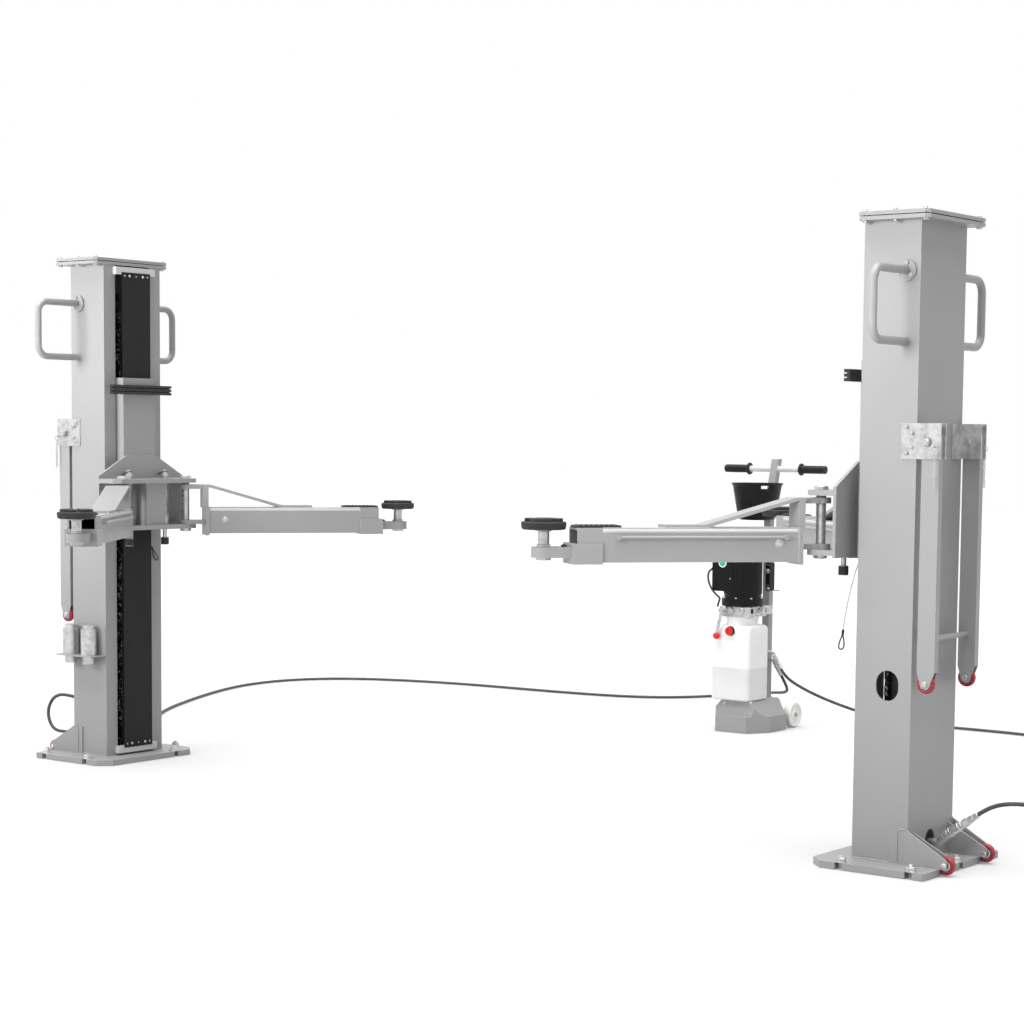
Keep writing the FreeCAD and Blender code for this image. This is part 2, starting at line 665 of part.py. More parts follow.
cap_middle = "column_top + cap_thick"
cap_top = cap_middle + " + cap_gap + cap_thick"
cap_pieces = [cap("lower_cap", "0", "column_top", cap_middle),
              cap("cap_spacer", "cap_spacer_inset", cap_middle, cap_middle + " + cap_gap"),
              cap("upper_cap", "0", cap_middle + " + cap_gap", cap_top)]
for x in ("-cap_back + cap_bolt_inset", "(cap_front - cap_back) / 2", "cap_front - cap_bolt_inset"):
    for y in ("cap_bolt_side", "-cap_bolt_side"):
        cap_pieces.append(rod("cap_bolt", "z", (x, y), (cap_top + " - 1", cap_top + " + cap_bolt_high"),
                              "cap_bolt_radius"))
left_cap = join("left_cap", *cap_pieces)
node("top_plates", group("top_plates", left_cap, mirrored("right_cap", left_cap)))

# grab handles on both side faces of each column
side_face = size["column_width"] / 2
grab_out = side_face + size["grab_reach"]
grab_bend = size["grab_bend"]
grab_points = [
    point(-size["grab_back"], side_face, size["grab_top"]),
    point(-size["grab_back"], grab_out, size["grab_top"]),
    point(-size["grab_back"], grab_out, size["grab_low"]),
    point(-size["grab_back"], side_face, size["grab_low"]),
]
grab_bow = bent_tube("grab_bow", grab_points, [grab_bend, grab_bend], size["grab_tube"])
grab_disc = rod("grab_disc", "y", ("-grab_back", "grab_top"),
                ("column_width / 2", "column_width / 2 + grab_flange_thick"), "grab_flange")
far_grab = join("far_grab", grab_bow, grab_disc)
left_grabs = group("left_grabs", far_grab, far_copy("near_grab", far_grab))
node("grab_handles", group("grab_handles", left_grabs, mirrored("right_grabs", left_grabs)))

# cover strip in front of the column mouth, held by a clamp at each end
strip_top = "(column_top - strip_top_gap)"
left_strip = block("left_strip", ("strip_face - strip_thick", "strip_face"),
                   ("-strip_half_width", "strip_half_width"), ("strip_low + strip_inset", strip_top + " - strip_inset"))
node("cover_strips", group("cover_strips", left_strip, mirrored("right_strip", left_strip)))


def clamp(label, low, high):
    """A clamp bar from the column lips to the back of the cover strip."""
    return block(label, ("column_depth / 2", "strip_face - strip_thick"),
                 ("-clamp_half_width", "clamp_half_width"), (low, high))


left_clamps = group("left_clamps", clamp("low_clamp", "strip_low", "strip_low + clamp_high"),
                    clamp("high_clamp", strip_top + " - clamp_high", strip_top))
node("strip_clamps", group("strip_clamps", left_clamps, mirrored("right_clamps", left_clamps)))

# lifting cylinder with its ram and chain sheave
ram_place = ("-cylinder_back", "0")
cylinder_top = "(column_top - cylinder_drop)"
ram_top = "(column_top - ram_drop)"
left_lifter = join(
    "left_lifter",
    rod("cylinder_tube", "z", ram_place, ("base_thick", cylinder_top), "cylinder_radius"),
    rod("ram", "z", ram_place, (cylinder_top, ram_top), "ram_radius"),
    rod("sheave", "y", ("-cylinder_back", ram_top + " + sheave_radius / 2"),
        ("-sheave_width / 2", "sheave_width / 2"), "sheave_radius"))
node("lift_cylinders", group("lift_cylinders", left_lifter, mirrored("right_lifter", left_lifter)))


def carriage(label):
    """The sliding tube, its shoes inside the column and the arm mount, as one weldment."""
    level = ("slide_low", "slide_high")
    wall_in = "(tube_half_width - tube_wall)"
    shoe_out = "(column_width / 2 - column_wall - rest_gap)"
    front = block(label + "_front", ("tube_front - tube_wall", "tube_front"),
                  ("-tube_half_width", "tube_half_width"), level)
    pieces = [front]
    for side in (-1, 1):
        sign = "-" if side < 0 else ""
        wall = ("-tube_half_width", "-" + wall_in) if side < 0 else (wall_in, "tube_half_width")
        pieces.append(block(label + "_wall", ("tube_back", "tube_front"), wall, level))
        shoe = ("-" + shoe_out, "-" + wall_in) if side < 0 else (wall_in, shoe_out)
        pieces.append(block(label + "_shoe", ("shoe_back", "shoe_front"), shoe, level))
        pin_place = ("pivot_out", sign + "pivot_side")
        pieces.append(rod(label + "_pin", "z", pin_place,
                          ("jaw_lower - pivot_cap_thick - 2", "jaw_upper + jaw_thick"), "pivot_radius"))
        pieces.append(rod(label + "_pin_cap", "z", pin_place,
                          ("jaw_upper + jaw_thick", "jaw_upper + jaw_thick + pivot_cap_thick"),
                          "pivot_cap_radius"))
        pieces.append(rod(label + "_pin_nut", "z", pin_place,
                          ("jaw_lower - pivot_cap_thick", "jaw_lower"), "pivot_cap_radius"))
    back_outline = [
        ("-mount_half_width", "slide_low"), ("mount_half_width", "slide_low"),
        ("mount_half_width", "mount_shoulder"), ("mount_top_half", "mount_top"),
        ("-mount_top_half", "mount_top"), ("-mount_half_width", "mount_shoulder"),
    ]
    pieces.append(plate(label + "_back", "YZ", back_outline, "tube_front", "tube_front + mount_thick"))
    jaw_root = "tube_front + mount_thick"
    jaw_outline = [
        (jaw_root, "-mount_half_width"), ("jaw_front - jaw_corner", "-mount_half_width"),
        ("jaw_front", "-mount_half_width + jaw_corner"), ("jaw_front", "mount_half_width - jaw_corner"),
        ("jaw_front - jaw_corner", "mount_half_width"), (jaw_root, "mount_half_width"),
    ]
    pieces.append(plate(label + "_upper_jaw", "XY", jaw_outline, "jaw_upper", "jaw_upper + jaw_thick"))
    pieces.append(plate(label + "_lower_jaw", "XY", jaw_outline, "jaw_lower", "jaw_lower + jaw_thick"))
    pieces.append(block(label + "_spine", (jaw_root, "spine_front"),
                        ("-spine_half_width", "spine_half_width"),
                        ("jaw_lower + jaw_thick", "jaw_upper")))
    whole = join(label + "_weldment", *pieces)
    holes = [rod(label + "_lock_hole", "z", ("lock_out", sign + "lock_side"),
                 ("jaw_lower - 1", "jaw_upper + jaw_thick + 1"), "lock_radius + running_gap")
             for sign in ("", "-")]
    return cut(label, whole, *holes)


def raised(label, feature):
    """A mirrored piece of the right carriage, lifted to its own height."""
    image = mirrored(label + "_image", feature)
    lifted = group(label, image)
    place(lifted, z="right_rise")
    return lifted


left_carriage = carriage("left_carriage")
node("left_carriage", left_carriage)
node("right_carriage", raised("right_carriage", left_carriage))

# ribbed rubber bumper across the top of each carriage tube
bumper_body = block("bumper_body", ("tube_front", "tube_front + bumper_thick"),
                    ("-bumper_half_width", "bumper_half_width"), ("bumper_low", "bumper_high"))
grooves = [
    block("bumper_groove", ("tube_front + bumper_thick / 2", "tube_front + bumper_thick + 1"),
          ("-bumper_half_width - 1", "bumper_half_width + 1"),
          ("bumper_low + (bumper_high - bumper_low) * %s" % low,
           "bumper_low + (bumper_high - bumper_low) * %s" % high))
    for low, high in (("0.27", "0.37"), ("0.63", "0.73"))
]
left_bumper = cut("left_bumper", bumper_body, *grooves)
node("left_door_bumper", left_bumper)
node("right_door_bumper", raised("right_door_bumper", left_bumper))


def lock_pin(label, sign):
    """A sprung pin through the jaws with a grip ring, a collar and a foot."""
    spot = ("lock_out", sign + "lock_side")
    return join(
        label,
        rod(label + "_shaft", "z", spot, ("lock_foot_low", "lock_top"), "lock_radius"),
        rod(label + "_ring", "z", spot, ("lock_ring_low", "lock_ring_low + lock_ring_thick"),
            "lock_ring_radius"),
        rod(label + "_collar", "z", spot, ("jaw_lower + jaw_thick + rest_gap", "lock_collar_high"),
            "lock_collar_radius"),
        rod(label + "_foot", "z", spot, ("lock_foot_low", "lock_foot_high"), "lock_foot_radius"))


for place_name, sign in (("near", "-"), ("far", "")):
    pin = lock_pin("left_%s_lock_pin" % place_name, sign)
    node("left_%s_lock_pin" % place_name, pin)
    node("right_%s_lock_pin" % place_name, raised("right_%s_lock_pin" % place_name, pin))


def outer_arm():
    """An arm drawn from its pivot along +X: fork, root plate, tube, brace, keeper rod and sleeve."""
    def fork(label, low, high, reach):
        eye = rod(label + "_eye", "z", ("0", "0"), (low, high), "fork_radius")
        tongue = block(label + "_tongue", ("0", reach), ("-fork_half_width", "fork_half_width"),
                       (low, high))
        return [eye, tongue]

    upper_top = "fork_upper + fork_upper_thick"
    fork_lower = "(jaw_lower + jaw_thick + rest_gap)"
    pieces = fork("upper_fork", "fork_upper", upper_top, "root_end")
    pieces += fork("lower_fork", fork_lower, fork_lower + " + fork_lower_thick", "root_start + 1")
    pieces.append(block("root_plate", ("root_start", "root_end"),
                        ("-arm_half_width - root_extra / 2", "arm_half_width + root_extra / 2"),
                        ("arm_low - root_extra", "arm_high")))
    pieces.append(block("upright", ("root_end - post_thick", "root_end"),
                        ("-post_half_width", "post_half_width"), ("arm_high - 1", upper_top)))
    tube = block("arm_tube", ("root_end - 1", "arm_end"), ("-arm_half_width", "arm_half_width"),
                 ("arm_low", "arm_high"))
    brace_outline = [
        ("brace_start - brace_flat", upper_top), ("brace_start", upper_top),
        ("brace_foot", "arm_high + brace_thick"), ("brace_end", "arm_high + brace_thick"),
        ("brace_end", "arm_high"), ("brace_foot - brace_thick", "arm_high"),
        ("brace_start - brace_thick / 2", upper_top + " - brace_thick"),
        ("brace_start - brace_flat", upper_top + " - brace_thick"),
    ]
    pieces.append(plate("brace", "XZ", brace_outline, "-brace_half_width", "brace_half_width"))
    sleeve = block("sleeve", ("sleeve_start", "sleeve_end"), ("-sleeve_half_width", "sleeve_half_width"),
                   ("sleeve_low", "sleeve_high"))
    hollow = block("arm_hollow", ("root_end + arm_wall", "arm_end + 1"),
                   ("-arm_half_width + arm_wall", "arm_half_width - arm_wall"),
                   ("arm_low + arm_wall", "arm_high - arm_wall"))
    bar_way = block("bar_way", ("arm_end - 1", "sleeve_end + 1"),
                    ("-bar_half_width - rest_gap", "bar_half_width + rest_gap"),
                    ("bar_low - rest_gap", "bar_low + bar_thick + rest_gap"))
    pieces += [tube, sleeve]
    for reach in ("keeper_start", "keeper_end"):
        pieces.append(block("keeper_lug", (reach + " - keeper_lug / 2", reach + " + keeper_lug / 2"),
                            ("arm_half_width - 1", "arm_half_width + keeper_stand + keeper_radius + 2"),
                            ("keeper_high - keeper_lug / 2", "keeper_high + keeper_lug / 2")))
    pieces.append(rod("keeper_rod", "x", ("arm_half_width + keeper_stand", "keeper_high"),
                      ("keeper_start", "keeper_end"), "keeper_radius"))
    eye_hole = rod("eye_hole", "z", ("0", "0"), (fork_lower + " - 1", upper_top + " + 1"),
                   "pivot_radius + running_gap")
    return cut("outer_arm", join("outer_arm_blank", *pieces), hollow, bar_way, eye_hole)


def inner_arm():
    """The flat bar that slides in the arm tube, with the eye for the pad stem."""
    level = ("bar_low", "bar_low + bar_thick")
    bar = block("inner_bar", ("bar_start", "pad_reach"), ("-bar_half_width", "bar_half_width"), level)
    eye = rod("inner_eye", "z", ("pad_reach", "0"), level, "bar_half_width")
    guide_half = "(arm_half_width - arm_wall - rest_gap)"
    guide = block("inner_guide", ("bar_start", "bar_start + guide_length"), ("-" + guide_half, guide_half),
                  ("arm_low + arm_wall + rest_gap", "arm_high - arm_wall - rest_gap"))
    hole = rod("stem_hole", "z", ("pad_reach", "0"), ("bar_low - 1", "bar_low + bar_thick + 1"),
               "stem_radius + running_gap")
    return cut("inner_arm", join("inner_arm_blank", bar, eye, guide), hole)


def pad():
    """The round lifting pad on its stem, with a nut above and below the inner arm."""
    spot = ("pad_reach", "0")
    bar_top = "bar_low + bar_thick"
    return join(
        "pad",
        rod("pad_disc", "z", spot, ("pad_low", "pad_low + pad_thick"), "pad_radius"),
        rod("pad_stem", "z", spot, ("bar_low - rest_gap - nut_thick", "pad_low"), "stem_radius"),
        rod("pad_upper_nut", "z", spot, (bar_top + " + rest_gap", bar_top + " + rest_gap + nut_thick"),
            "nut_radius"),
        rod("pad_lower_nut", "z", spot, ("bar_low - rest_gap - nut_thick", "bar_low - rest_gap"),
            "nut_radius"))


ARMS = [
    ("left_near", "pivot_out", "-pivot_side", "0", "left_near_turn"),
    ("left_far", "pivot_out", "pivot_side", "0", "left_far_turn"),
    ("right_near", "post_spacing - pivot_out", "-pivot_side", "right_rise", "right_near_turn"),
    ("right_far", "post_spacing - pivot_out", "pivot_side", "right_rise", "right_far_turn"),
]
ARM_PIECES = [("arm", outer_arm()), ("inner_arm", inner_arm()), ("pad", pad())]
for arm_name, x, y, z, turn in ARMS:
    for piece_name, drawn in ARM_PIECES:
        label = "%s_%s" % (arm_name, piece_name)
        placed = group(label, drawn)
        placed.Placement = FreeCAD.Placement(FreeCAD.Vector(), FreeCAD.Rotation(FreeCAD.Vector(0, 0, 1), 1))
        place(placed, x, y, z)
        bind(placed, "Placement.Rotation.Angle", turn)
        node(label, placed)

# transport legs on the back of each column
leg_x = ("-leg_back - leg_depth / 2", "-leg_back + leg_depth / 2")
leg_y = ("leg_out - leg_width", "leg_out")


def far_leg():
    """One leg tube with a round head at its pivot and a fork for its wheel."""
    tube = block("leg_tube", leg_x, leg_y, ("leg_foot", "leg_pivot_high"))
    head = rod("leg_head", "y", ("-leg_back", "leg_pivot_high"), leg_y, "leg_depth / 2")
    cheek_outline = [
        (leg_x[0], "leg_foot + leg_cheek_lap"), (leg_x[0], "leg_foot"),
        ("-leg_wheel_back - axle_radius * 2", "leg_wheel_high - axle_radius * 2"),
        ("-leg_wheel_back + axle_radius * 2", "leg_wheel_high - axle_radius * 2"),
        (leg_x[1], "leg_foot"), (leg_x[1], "leg_foot + leg_cheek_lap"),
    ]
    cheeks = [plate("leg_cheek", "XZ", cheek_outline, *span) for span in (
        (leg_y[0], leg_y[0] + " + leg_cheek"), ("leg_out - leg_cheek", "leg_out"))]
    axle = rod("leg_axle", "y", ("-leg_wheel_back", "leg_wheel_high"), leg_y, "axle_radius")
    pivot = rod("leg_pivot_hole", "y", ("-leg_pivot_back", "leg_pivot_high"),
                ("leg_out - leg_width - 1", "leg_out + 1"), "leg_pin_radius + running_gap")
    return cut("far_leg", join("far_leg_blank", tube, head, axle, *cheeks), pivot)


far_leg_shape = far_leg()
cross_bar = rod("cross_bar", "y", ("-leg_wheel_back", "cross_bar_high"), ("-leg_out + 1", "leg_out - 1"),
                "cross_bar_radius")
left_legs = join("left_legs", far_leg_shape, far_copy("near_leg", far_leg_shape), cross_bar)
node("left_transport_legs", left_legs)
node("right_transport_legs", mirrored("right_transport_legs", left_legs))
leg_wheel_middle = "(leg_out - leg_width / 2)"
far_leg_wheel = wheel("far_leg_wheel", ("-leg_wheel_back", "leg_wheel_high"), leg_wheel_middle,
                      "leg_width - 2 * leg_cheek - 2 * side_play", "leg_wheel_radius", "axle_radius")
left_leg_wheels = group("left_leg_wheels", far_leg_wheel, far_copy("near_leg_wheel", far_leg_wheel))
node("left_leg_wheels", left_leg_wheels)
node("right_leg_wheels", mirrored("right_leg_wheels", left_leg_wheels))

# brackets that carry the transport legs
bracket_z = ("bracket_low", "bracket_high")
outer_bracket = block("outer_bracket", ("-bracket_back", "-bracket_front"),
                      ("column_width / 2", "column_width / 2 + bracket_thick"), bracket_z)
inner_bracket = block("inner_bracket", ("-bracket_back", "-column_depth / 2"),
                      ("inner_bracket", "inner_bracket + bracket_thick"), bracket_z)
bracket_tab = block("bracket_tab", ("-column_depth / 2 - bracket_thick", "-column_depth / 2"),
                    ("inner_bracket - bracket_tab", "inner_bracket + bracket_thick"), bracket_z)
leg_pin = rod("leg_pin", "y", ("-leg_pivot_back", "leg_pivot_high"),
              ("inner_bracket - 6", "column_width / 2 + bracket_thick + 7"), "leg_pin_radius")
far_bracket = join("far_bracket", outer_bracket, inner_bracket, bracket_tab, leg_pin)
left_brackets = group("left_brackets", far_bracket, far_copy("near_bracket", far_bracket))
node("leg_brackets", group("leg_brackets", left_brackets, mirrored("right_brackets", left_brackets)))

# rack with two height adapters on the near side of the left column
face = "-column_width / 2"
shelf_top = "rack_shelf + rack_thick"
shelf = block("rack_shelf", ("-rack_back", "rack_front"), (face + " - rack_deep", face),
              ("rack_shelf", shelf_top))
rack_back_plate = block("rack_back", ("-rack_back", "rack_front"), (face + " - rack_thick", face),
                        ("rack_shelf", "rack_top"))
adapter_y = face + " - adapter_out"
rack_holes = [rod("rack_hole", "z", (x, adapter_y), ("rack_shelf - 1", shelf_top + " + 1"),
                  "adapter_radius + adapter_play") for x in ("adapter_first", "adapter_second")]
node("adapter_rack", cut("adapter_rack", join("rack_blank", shelf, rack_back_plate), *rack_holes))


def adapter(label, x):
    """A turned height adapter that hangs in the rack by its collar."""
    return join(label,
                rod(label + "_stem", "z", (x, adapter_y), ("adapter_low", "adapter_top"), "adapter_radius"),
                rod(label + "_collar", "z", (x, adapter_y), (shelf_top, "adapter_top - 14"),
                    "adapter_collar"))


node("height_adapters", group("height_adapters", adapter("first_adapter", "adapter_first"),
                              adapter("second_adapter", "adapter_second")))

# pump trolley: a folded tray on two wheels
mid = "trolley_across"
axle_away = "(mast_away + axle_stand)"
tank_away = "(mast_away - tank_stand)"
pump_mid = "(trolley_across - pump_left)"
basket_away = "(mast_away - basket_stand)"
half_mast = "mast_size / 2"
tray_front = "(mast_away - tray_front)"
tray_shoulder = "(mast_away - tray_shoulder)"
tray_waist = "(mast_away - tray_waist)"
tray_back = "(mast_away + tray_back)"
wheel_gap = axle_away + " - trolley_wheel_radius - notch_play"
tray_outline = [
    (mid + " - tray_front_half", tray_front), (mid + " + tray_front_half", tray_front),
    (mid + " + tray_half", tray_shoulder), (mid + " + tray_half", tray_waist),
    (mid + " + tray_back_half", wheel_gap), (mid + " + tray_back_half", tray_back),
    (mid + " - tray_back_half", tray_back), (mid + " - tray_back_half", wheel_gap),
    (mid + " - tray_half", tray_waist), (mid + " - tray_half", tray_shoulder),
]
tray_hollow_outline = [
    (mid + " - tray_front_half + tray_sheet / 2", tray_front + " + tray_sheet"),
    (mid + " + tray_front_half - tray_sheet / 2", tray_front + " + tray_sheet"),
    (mid + " + tray_half - tray_sheet", tray_shoulder + " + tray_sheet / 2"),
    (mid + " + tray_half - tray_sheet", tray_back + " + 1"),
    (mid + " - tray_half + tray_sheet", tray_back + " + 1"),
    (mid + " - tray_half + tray_sheet", tray_shoulder + " + tray_sheet / 2"),
]
tray_block = plate("tray_block", "XY", tray_outline, "0", "tray_top")
tray_hollow = plate("tray_hollow", "XY", tray_hollow_outline, "-1", "tray_top - tray_sheet")
axle_line = (axle_away, "trolley_wheel_radius")
tray_axle = rod("tray_axle", "x", axle_line,
                (mid + " - trolley_wheel_side - trolley_wheel_width / 2 - 4",
                 mid + " + trolley_wheel_side + trolley_wheel_width / 2 + 4"), "trolley_axle_radius")
axle_block = block("axle_block", (mid + " - tray_back_half", mid + " + tray_back_half"),
                   (axle_away + " - 12", axle_away + " + 12"), ("trolley_wheel_radius - 10", "tray_top"))


def hump(label, inset, foot):
    """The raised middle of the tray: a block whose sides and front slope down to its foot."""
    feature = start("Part::Wedge", label)
    feature.Placement = FreeCAD.Placement(FreeCAD.Vector(), FreeCAD.Rotation(FreeCAD.Vector(1, 0, 0), 90))
    top_half = "hump_half - " + inset
    foot_half = "hump_half + hump_slope - " + inset
    depth = "hump_front - " + half_mast
    for prop, expression in (("Xmin", "-(%s)" % foot_half), ("Xmax", foot_half),
                             ("X2min", "-(%s)" % top_half), ("X2max", top_half),
                             ("Ymin", foot), ("Ymax", "hump_top - " + inset),
                             ("Zmin", inset), ("Zmax", "%s - %s" % (depth, inset)),
                             ("Z2min", inset), ("Z2max", "%s - %s - hump_slope / 3" % (depth, inset))):
        bind(feature, prop, expression)
    place(feature, mid, "mast_away - " + half_mast, "0")
    return feature


hump_outside = common("hump_outside", hump("outer_hump", "0", "tray_top - 1"),
                      plate("outer_hump_trim", "XY", tray_outline, "tray_top - 2", "hump_top + 1"))
hump_inside = common("hump_inside", hump("inner_hump", "tray_sheet", "tray_top - tray_sheet - 1"),
                     plate("inner_hump_trim", "XY", tray_hollow_outline, "tray_top - tray_sheet - 2",
                           "hump_top"))
tray_shell = cut("tray_shell", join("tray_and_hump", tray_block, hump_outside), tray_hollow, hump_inside)
node("trolley_tray", join("trolley_tray", tray_shell, tray_axle, axle_block))


def trolley_wheel(label, sign):
    """A nylon wheel of the trolley."""
    centre = "%s %s trolley_wheel_side" % (mid, sign)
    span = (centre + " - trolley_wheel_width / 2", centre + " + trolley_wheel_width / 2")
    disc = rod(label + "_disc", "x", axle_line, span, "trolley_wheel_radius")
    hole = rod(label + "_hole", "x", axle_line, (span[0] + " - 1", span[1] + " + 1"),
               "trolley_axle_radius + running_gap")
    return cut(label, disc, hole)


node("trolley_wheels", group("trolley_wheels", trolley_wheel("left_trolley_wheel", "-"),
                             trolley_wheel("right_trolley_wheel", "+")))

# mast with its upper part leaning back
mast_low = block("mast_low", (mid + " - " + half_mast, mid + " + " + half_mast),
                 ("mast_away - " + half_mast, "mast_away + " + half_mast), ("tray_top", "mast_bend"))
lean = "tan(mast_lean)"
mast_high_outline = [
    ("mast_away - " + half_mast, "mast_bend"), ("mast_away + " + half_mast, "mast_bend"),
    ("mast_away + %s + (mast_top - mast_bend) * %s" % (half_mast, lean), "mast_top"),
    ("mast_away - %s + (mast_top - mast_bend) * %s" % (half_mast, lean), "mast_top"),
]
mast_high = plate("mast_high", "YZ", mast_high_outline, mid + " - " + half_mast, mid + " + " + half_mast)
bar_away = "mast_away + (bar_high - mast_bend) * " + lean
bar_line = (bar_away, "bar_high")
bar_hole = rod("bar_hole", "x", bar_line, (mid + " - mast_size", mid + " + mast_size"),
               "bar_radius")
node("trolley_mast", cut("trolley_mast", join("mast_blank", mast_low, mast_high), bar_hole))
node("handlebar", rod("handlebar", "x", bar_line, (mid + " - bar_half", mid + " + bar_half"), "bar_radius"))


def grip(label, sign):
    """A rubber grip with a flange at its inner end."""
    outer_end = "%s %s (bar_half + 3)" % (mid, sign)
    inner_end = "%s %s (bar_half - grip_length)" % (mid, sign)
    flange_end = "%s %s (bar_half - grip_length + grip_flange_thick)" % (mid, sign)
    order = (lambda a, b: (a, b)) if sign == "+" else (lambda a, b: (b, a))
    body = rod(label + "_body", "x", bar_line, order(inner_end, outer_end), "grip_radius")
    flange = rod(label + "_flange", "x", bar_line, order(inner_end, flange_end), "grip_flange")
    bore_end = "%s %s bar_half" % (mid, sign)
    bore_start = "%s %s (bar_half - grip_length - 1)" % (mid, sign)
    bore = rod(label + "_bore", "x", bar_line, order(bore_start, bore_end), "bar_radius")
    return cut(label, join(label + "_blank", body, flange), bore)


node("handlebar_grips", group("handlebar_grips", grip("left_grip", "-"), grip("right_grip", "+")))

# tool basket carried on the front of the mast
basket_spot = (mid, basket_away)
basket_outside = taper("basket_outside", basket_spot, ("basket_low", "basket_high"),
                       "basket_foot_radius", "basket_radius")
basket_inside = taper("basket_inside", basket_spot, ("basket_low + basket_wall", "basket_high + 0.01"),
                      "basket_foot_radius - basket_wall", "basket_radius - basket_wall")


def basket_face(level):
    """The outside of the basket nearest the mast at a level, along Y."""
    share = "(%s - basket_low) / (basket_high - basket_low)" % level
    return basket_away + " + basket_foot_radius + (basket_radius - basket_foot_radius) * " + share


def mast_face(level):
    """The front of the leaning mast at a level, along Y."""
    return "mast_away - %s + (%s - mast_bend) * %s" % (half_mast, level, lean)


bracket_levels = ("(mast_bend + 5)", "(mast_bend + 45)")
basket_bracket_outline = [
    (basket_face(bracket_levels[0]) + " - 1", bracket_levels[0]), (mast_face(bracket_levels[0]), bracket_levels[0]),
    (mast_face(bracket_levels[1]), bracket_levels[1]), (basket_face(bracket_levels[1]) + " - 1", bracket_levels[1]),
]
basket_bracket = plate("basket_bracket", "YZ", basket_bracket_outline, mid + " - 15", mid + " + 15")
node("tool_basket", join("tool_basket", cut("basket_shell", basket_outside, basket_inside),
                         basket_bracket))

# oil tank with its neck, pump block and motor
tank_front = tank_away + " - tank_half_depth"
tank_left = pump_mid + " - tank_left"
tank_right = pump_mid + " + tank_right"
tank_outline = [
    (tank_left, "hump_top"), (tank_right, "hump_top"), (tank_right, "tank_high"),
    (tank_left + " + shoulder_wide", "tank_high"), (tank_left, "tank_high - shoulder_drop"),
]
tank_body = plate("tank_body", "XZ", tank_outline, tank_front, tank_away + " + tank_half_depth")
tank_neck = rod("tank_neck", "z", (pump_mid, tank_away), ("tank_high", "neck_high"), "neck_radius")
node("oil_tank", join("oil_tank", tank_body, tank_neck))
block_body = block("block_body", (pump_mid + " - block_half", pump_mid + " + block_half"),
                   (tank_away + " - block_half", tank_away + " + block_half"), ("neck_high", "block_high"))
valves = rod("valves", "x", (tank_away + " - block_half / 2", "(neck_high + block_high) / 2"),
             (pump_mid + " - valve_reach", pump_mid + " + valve_reach"), "valve_radius")
saddle = block("saddle", (mid + " - block_half / 2", mid + " + block_half / 2"),
               (tank_away + " + block_half", "mast_away - " + half_mast), ("neck_high", "block_high"))
node("pump_block", join("pump_block", block_body, valves, saddle))
motor_spot = (pump_mid, tank_away)
starter = block("starter_box", (pump_mid + " - starter_left", pump_mid + " - starter_left + starter_width"),
                (tank_away + " - starter_front", tank_away + " - starter_back"),
                ("starter_low", "starter_high"))
node("pump_motor", join(
    "pump_motor",
    rod("motor_foot", "z", motor_spot, ("block_high", "motor_foot_high"), "motor_foot_radius"),
    rod("motor_case", "z", motor_spot, ("motor_foot_high", "motor_high"), "motor_radius"), starter))
switch_face = mid + " + " + half_mast
node("switch_box", block("switch_box", (switch_face, switch_face + " + switch_width"),
                         ("mast_away - %s + switch_lap - switch_depth" % half_mast,
                          "mast_away - %s + switch_lap" % half_mast),
                         ("switch_low", "switch_high")))

# lowering lever with its red knob, and the filler cap on the front of the tank
lever_x = size["trolley_across"] - size["pump_left"] - size["lever_left"]
lever_face = size["mast_away"] - size["tank_stand"] - size["block_half"]
lever_root = point(lever_x, lever_face, size["lever_high"])
lever_bend = point(lever_x, lever_face - size["lever_reach"], size["lever_high"])
lever_tip = point(lever_x - size["lever_swing"], lever_face - size["lever_reach"],
                  size["lever_high"] - size["lever_drop"])
lever = bent_tube("lever_rod", [lever_root, lever_bend, lever_tip], [size["lever_radius"] * 3],
                  size["lever_radius"])
knob = start("Part::Sphere", "lever_knob")
bind(knob, "Radius", "knob_radius")
knob.Placement = FreeCAD.Placement(FreeCAD.Vector(), TURNS["y"])
place(knob, pump_mid + " - lever_left - lever_swing", tank_away + " - block_half - lever_reach",
      "lever_high - lever_drop")
filler = rod("filler_cap", "y", (pump_mid + " - filler_left", "filler_high"),
             (tank_front + " - filler_thick", tank_front), "filler_radius")
node("tank_controls", group("tank_controls", join("lowering_lever", lever, knob), filler))


# hydraulic hoses: points chosen by hand, in millimetres, from the left column to the trolley
# and from the trolley round the back to the right column, for these places of their ends
DRAWN_SPACING = 3440
DRAWN_TROLLEY = point(1455, 2483, 0)
LEFT_HOSE = [
    (-76.5, 0, 77), (-180, 0, 74), (-285, 0, 68), (-385, 1, 66), (-428, 6, 140), (-385, 14, 213),
    (-297, 34, 210), (-236, 82, 174), (-184, 150, 134), (-165, 245, 88), (-190, 350, 42),
    (-262, 455, 14), (-368, 565, 6.5), (-505, 695, 6.5), (-646, 822, 6.5), (-778, 950, 6.5),
    (-886, 1096, 6.5), (-984, 1258, 6.5), (-1074, 1425, 6.5), (-1161, 1597, 6.5),
    (-1241, 1772, 6.5), (-1310, 1952, 6.5), (-1352, 2135, 6.5), (-1354, 2312, 6.5),
    (-1308, 2468, 6.5), (-1212, 2602, 6.5), (-1072, 2702, 6.5), (-902, 2772, 6.5),
    (-722, 2820, 6.5), (-536, 2850, 6.5), (-348, 2866, 6.5), (-158, 2876, 6.5), (30, 2889, 6.5),
    (218, 2912, 6.5), (398, 2956, 6.5), (545, 3040, 6.5), (640, 3155, 6.5), (702, 3276, 6.5),
    (750, 3392, 6.5), (842, 3446, 6.5), (934, 3400, 8.5), (990, 3275, 20), (1052, 3142, 40),
    (1125, 3010, 62), (1202, 2886, 86), (1284, 2776, 107), (1366, 2699, 122), (1438, 2649, 131),
    (1490, 2604, 144), (1513, 2566, 166), (1513, 2535, 203), (1501, 2513, 244),
]
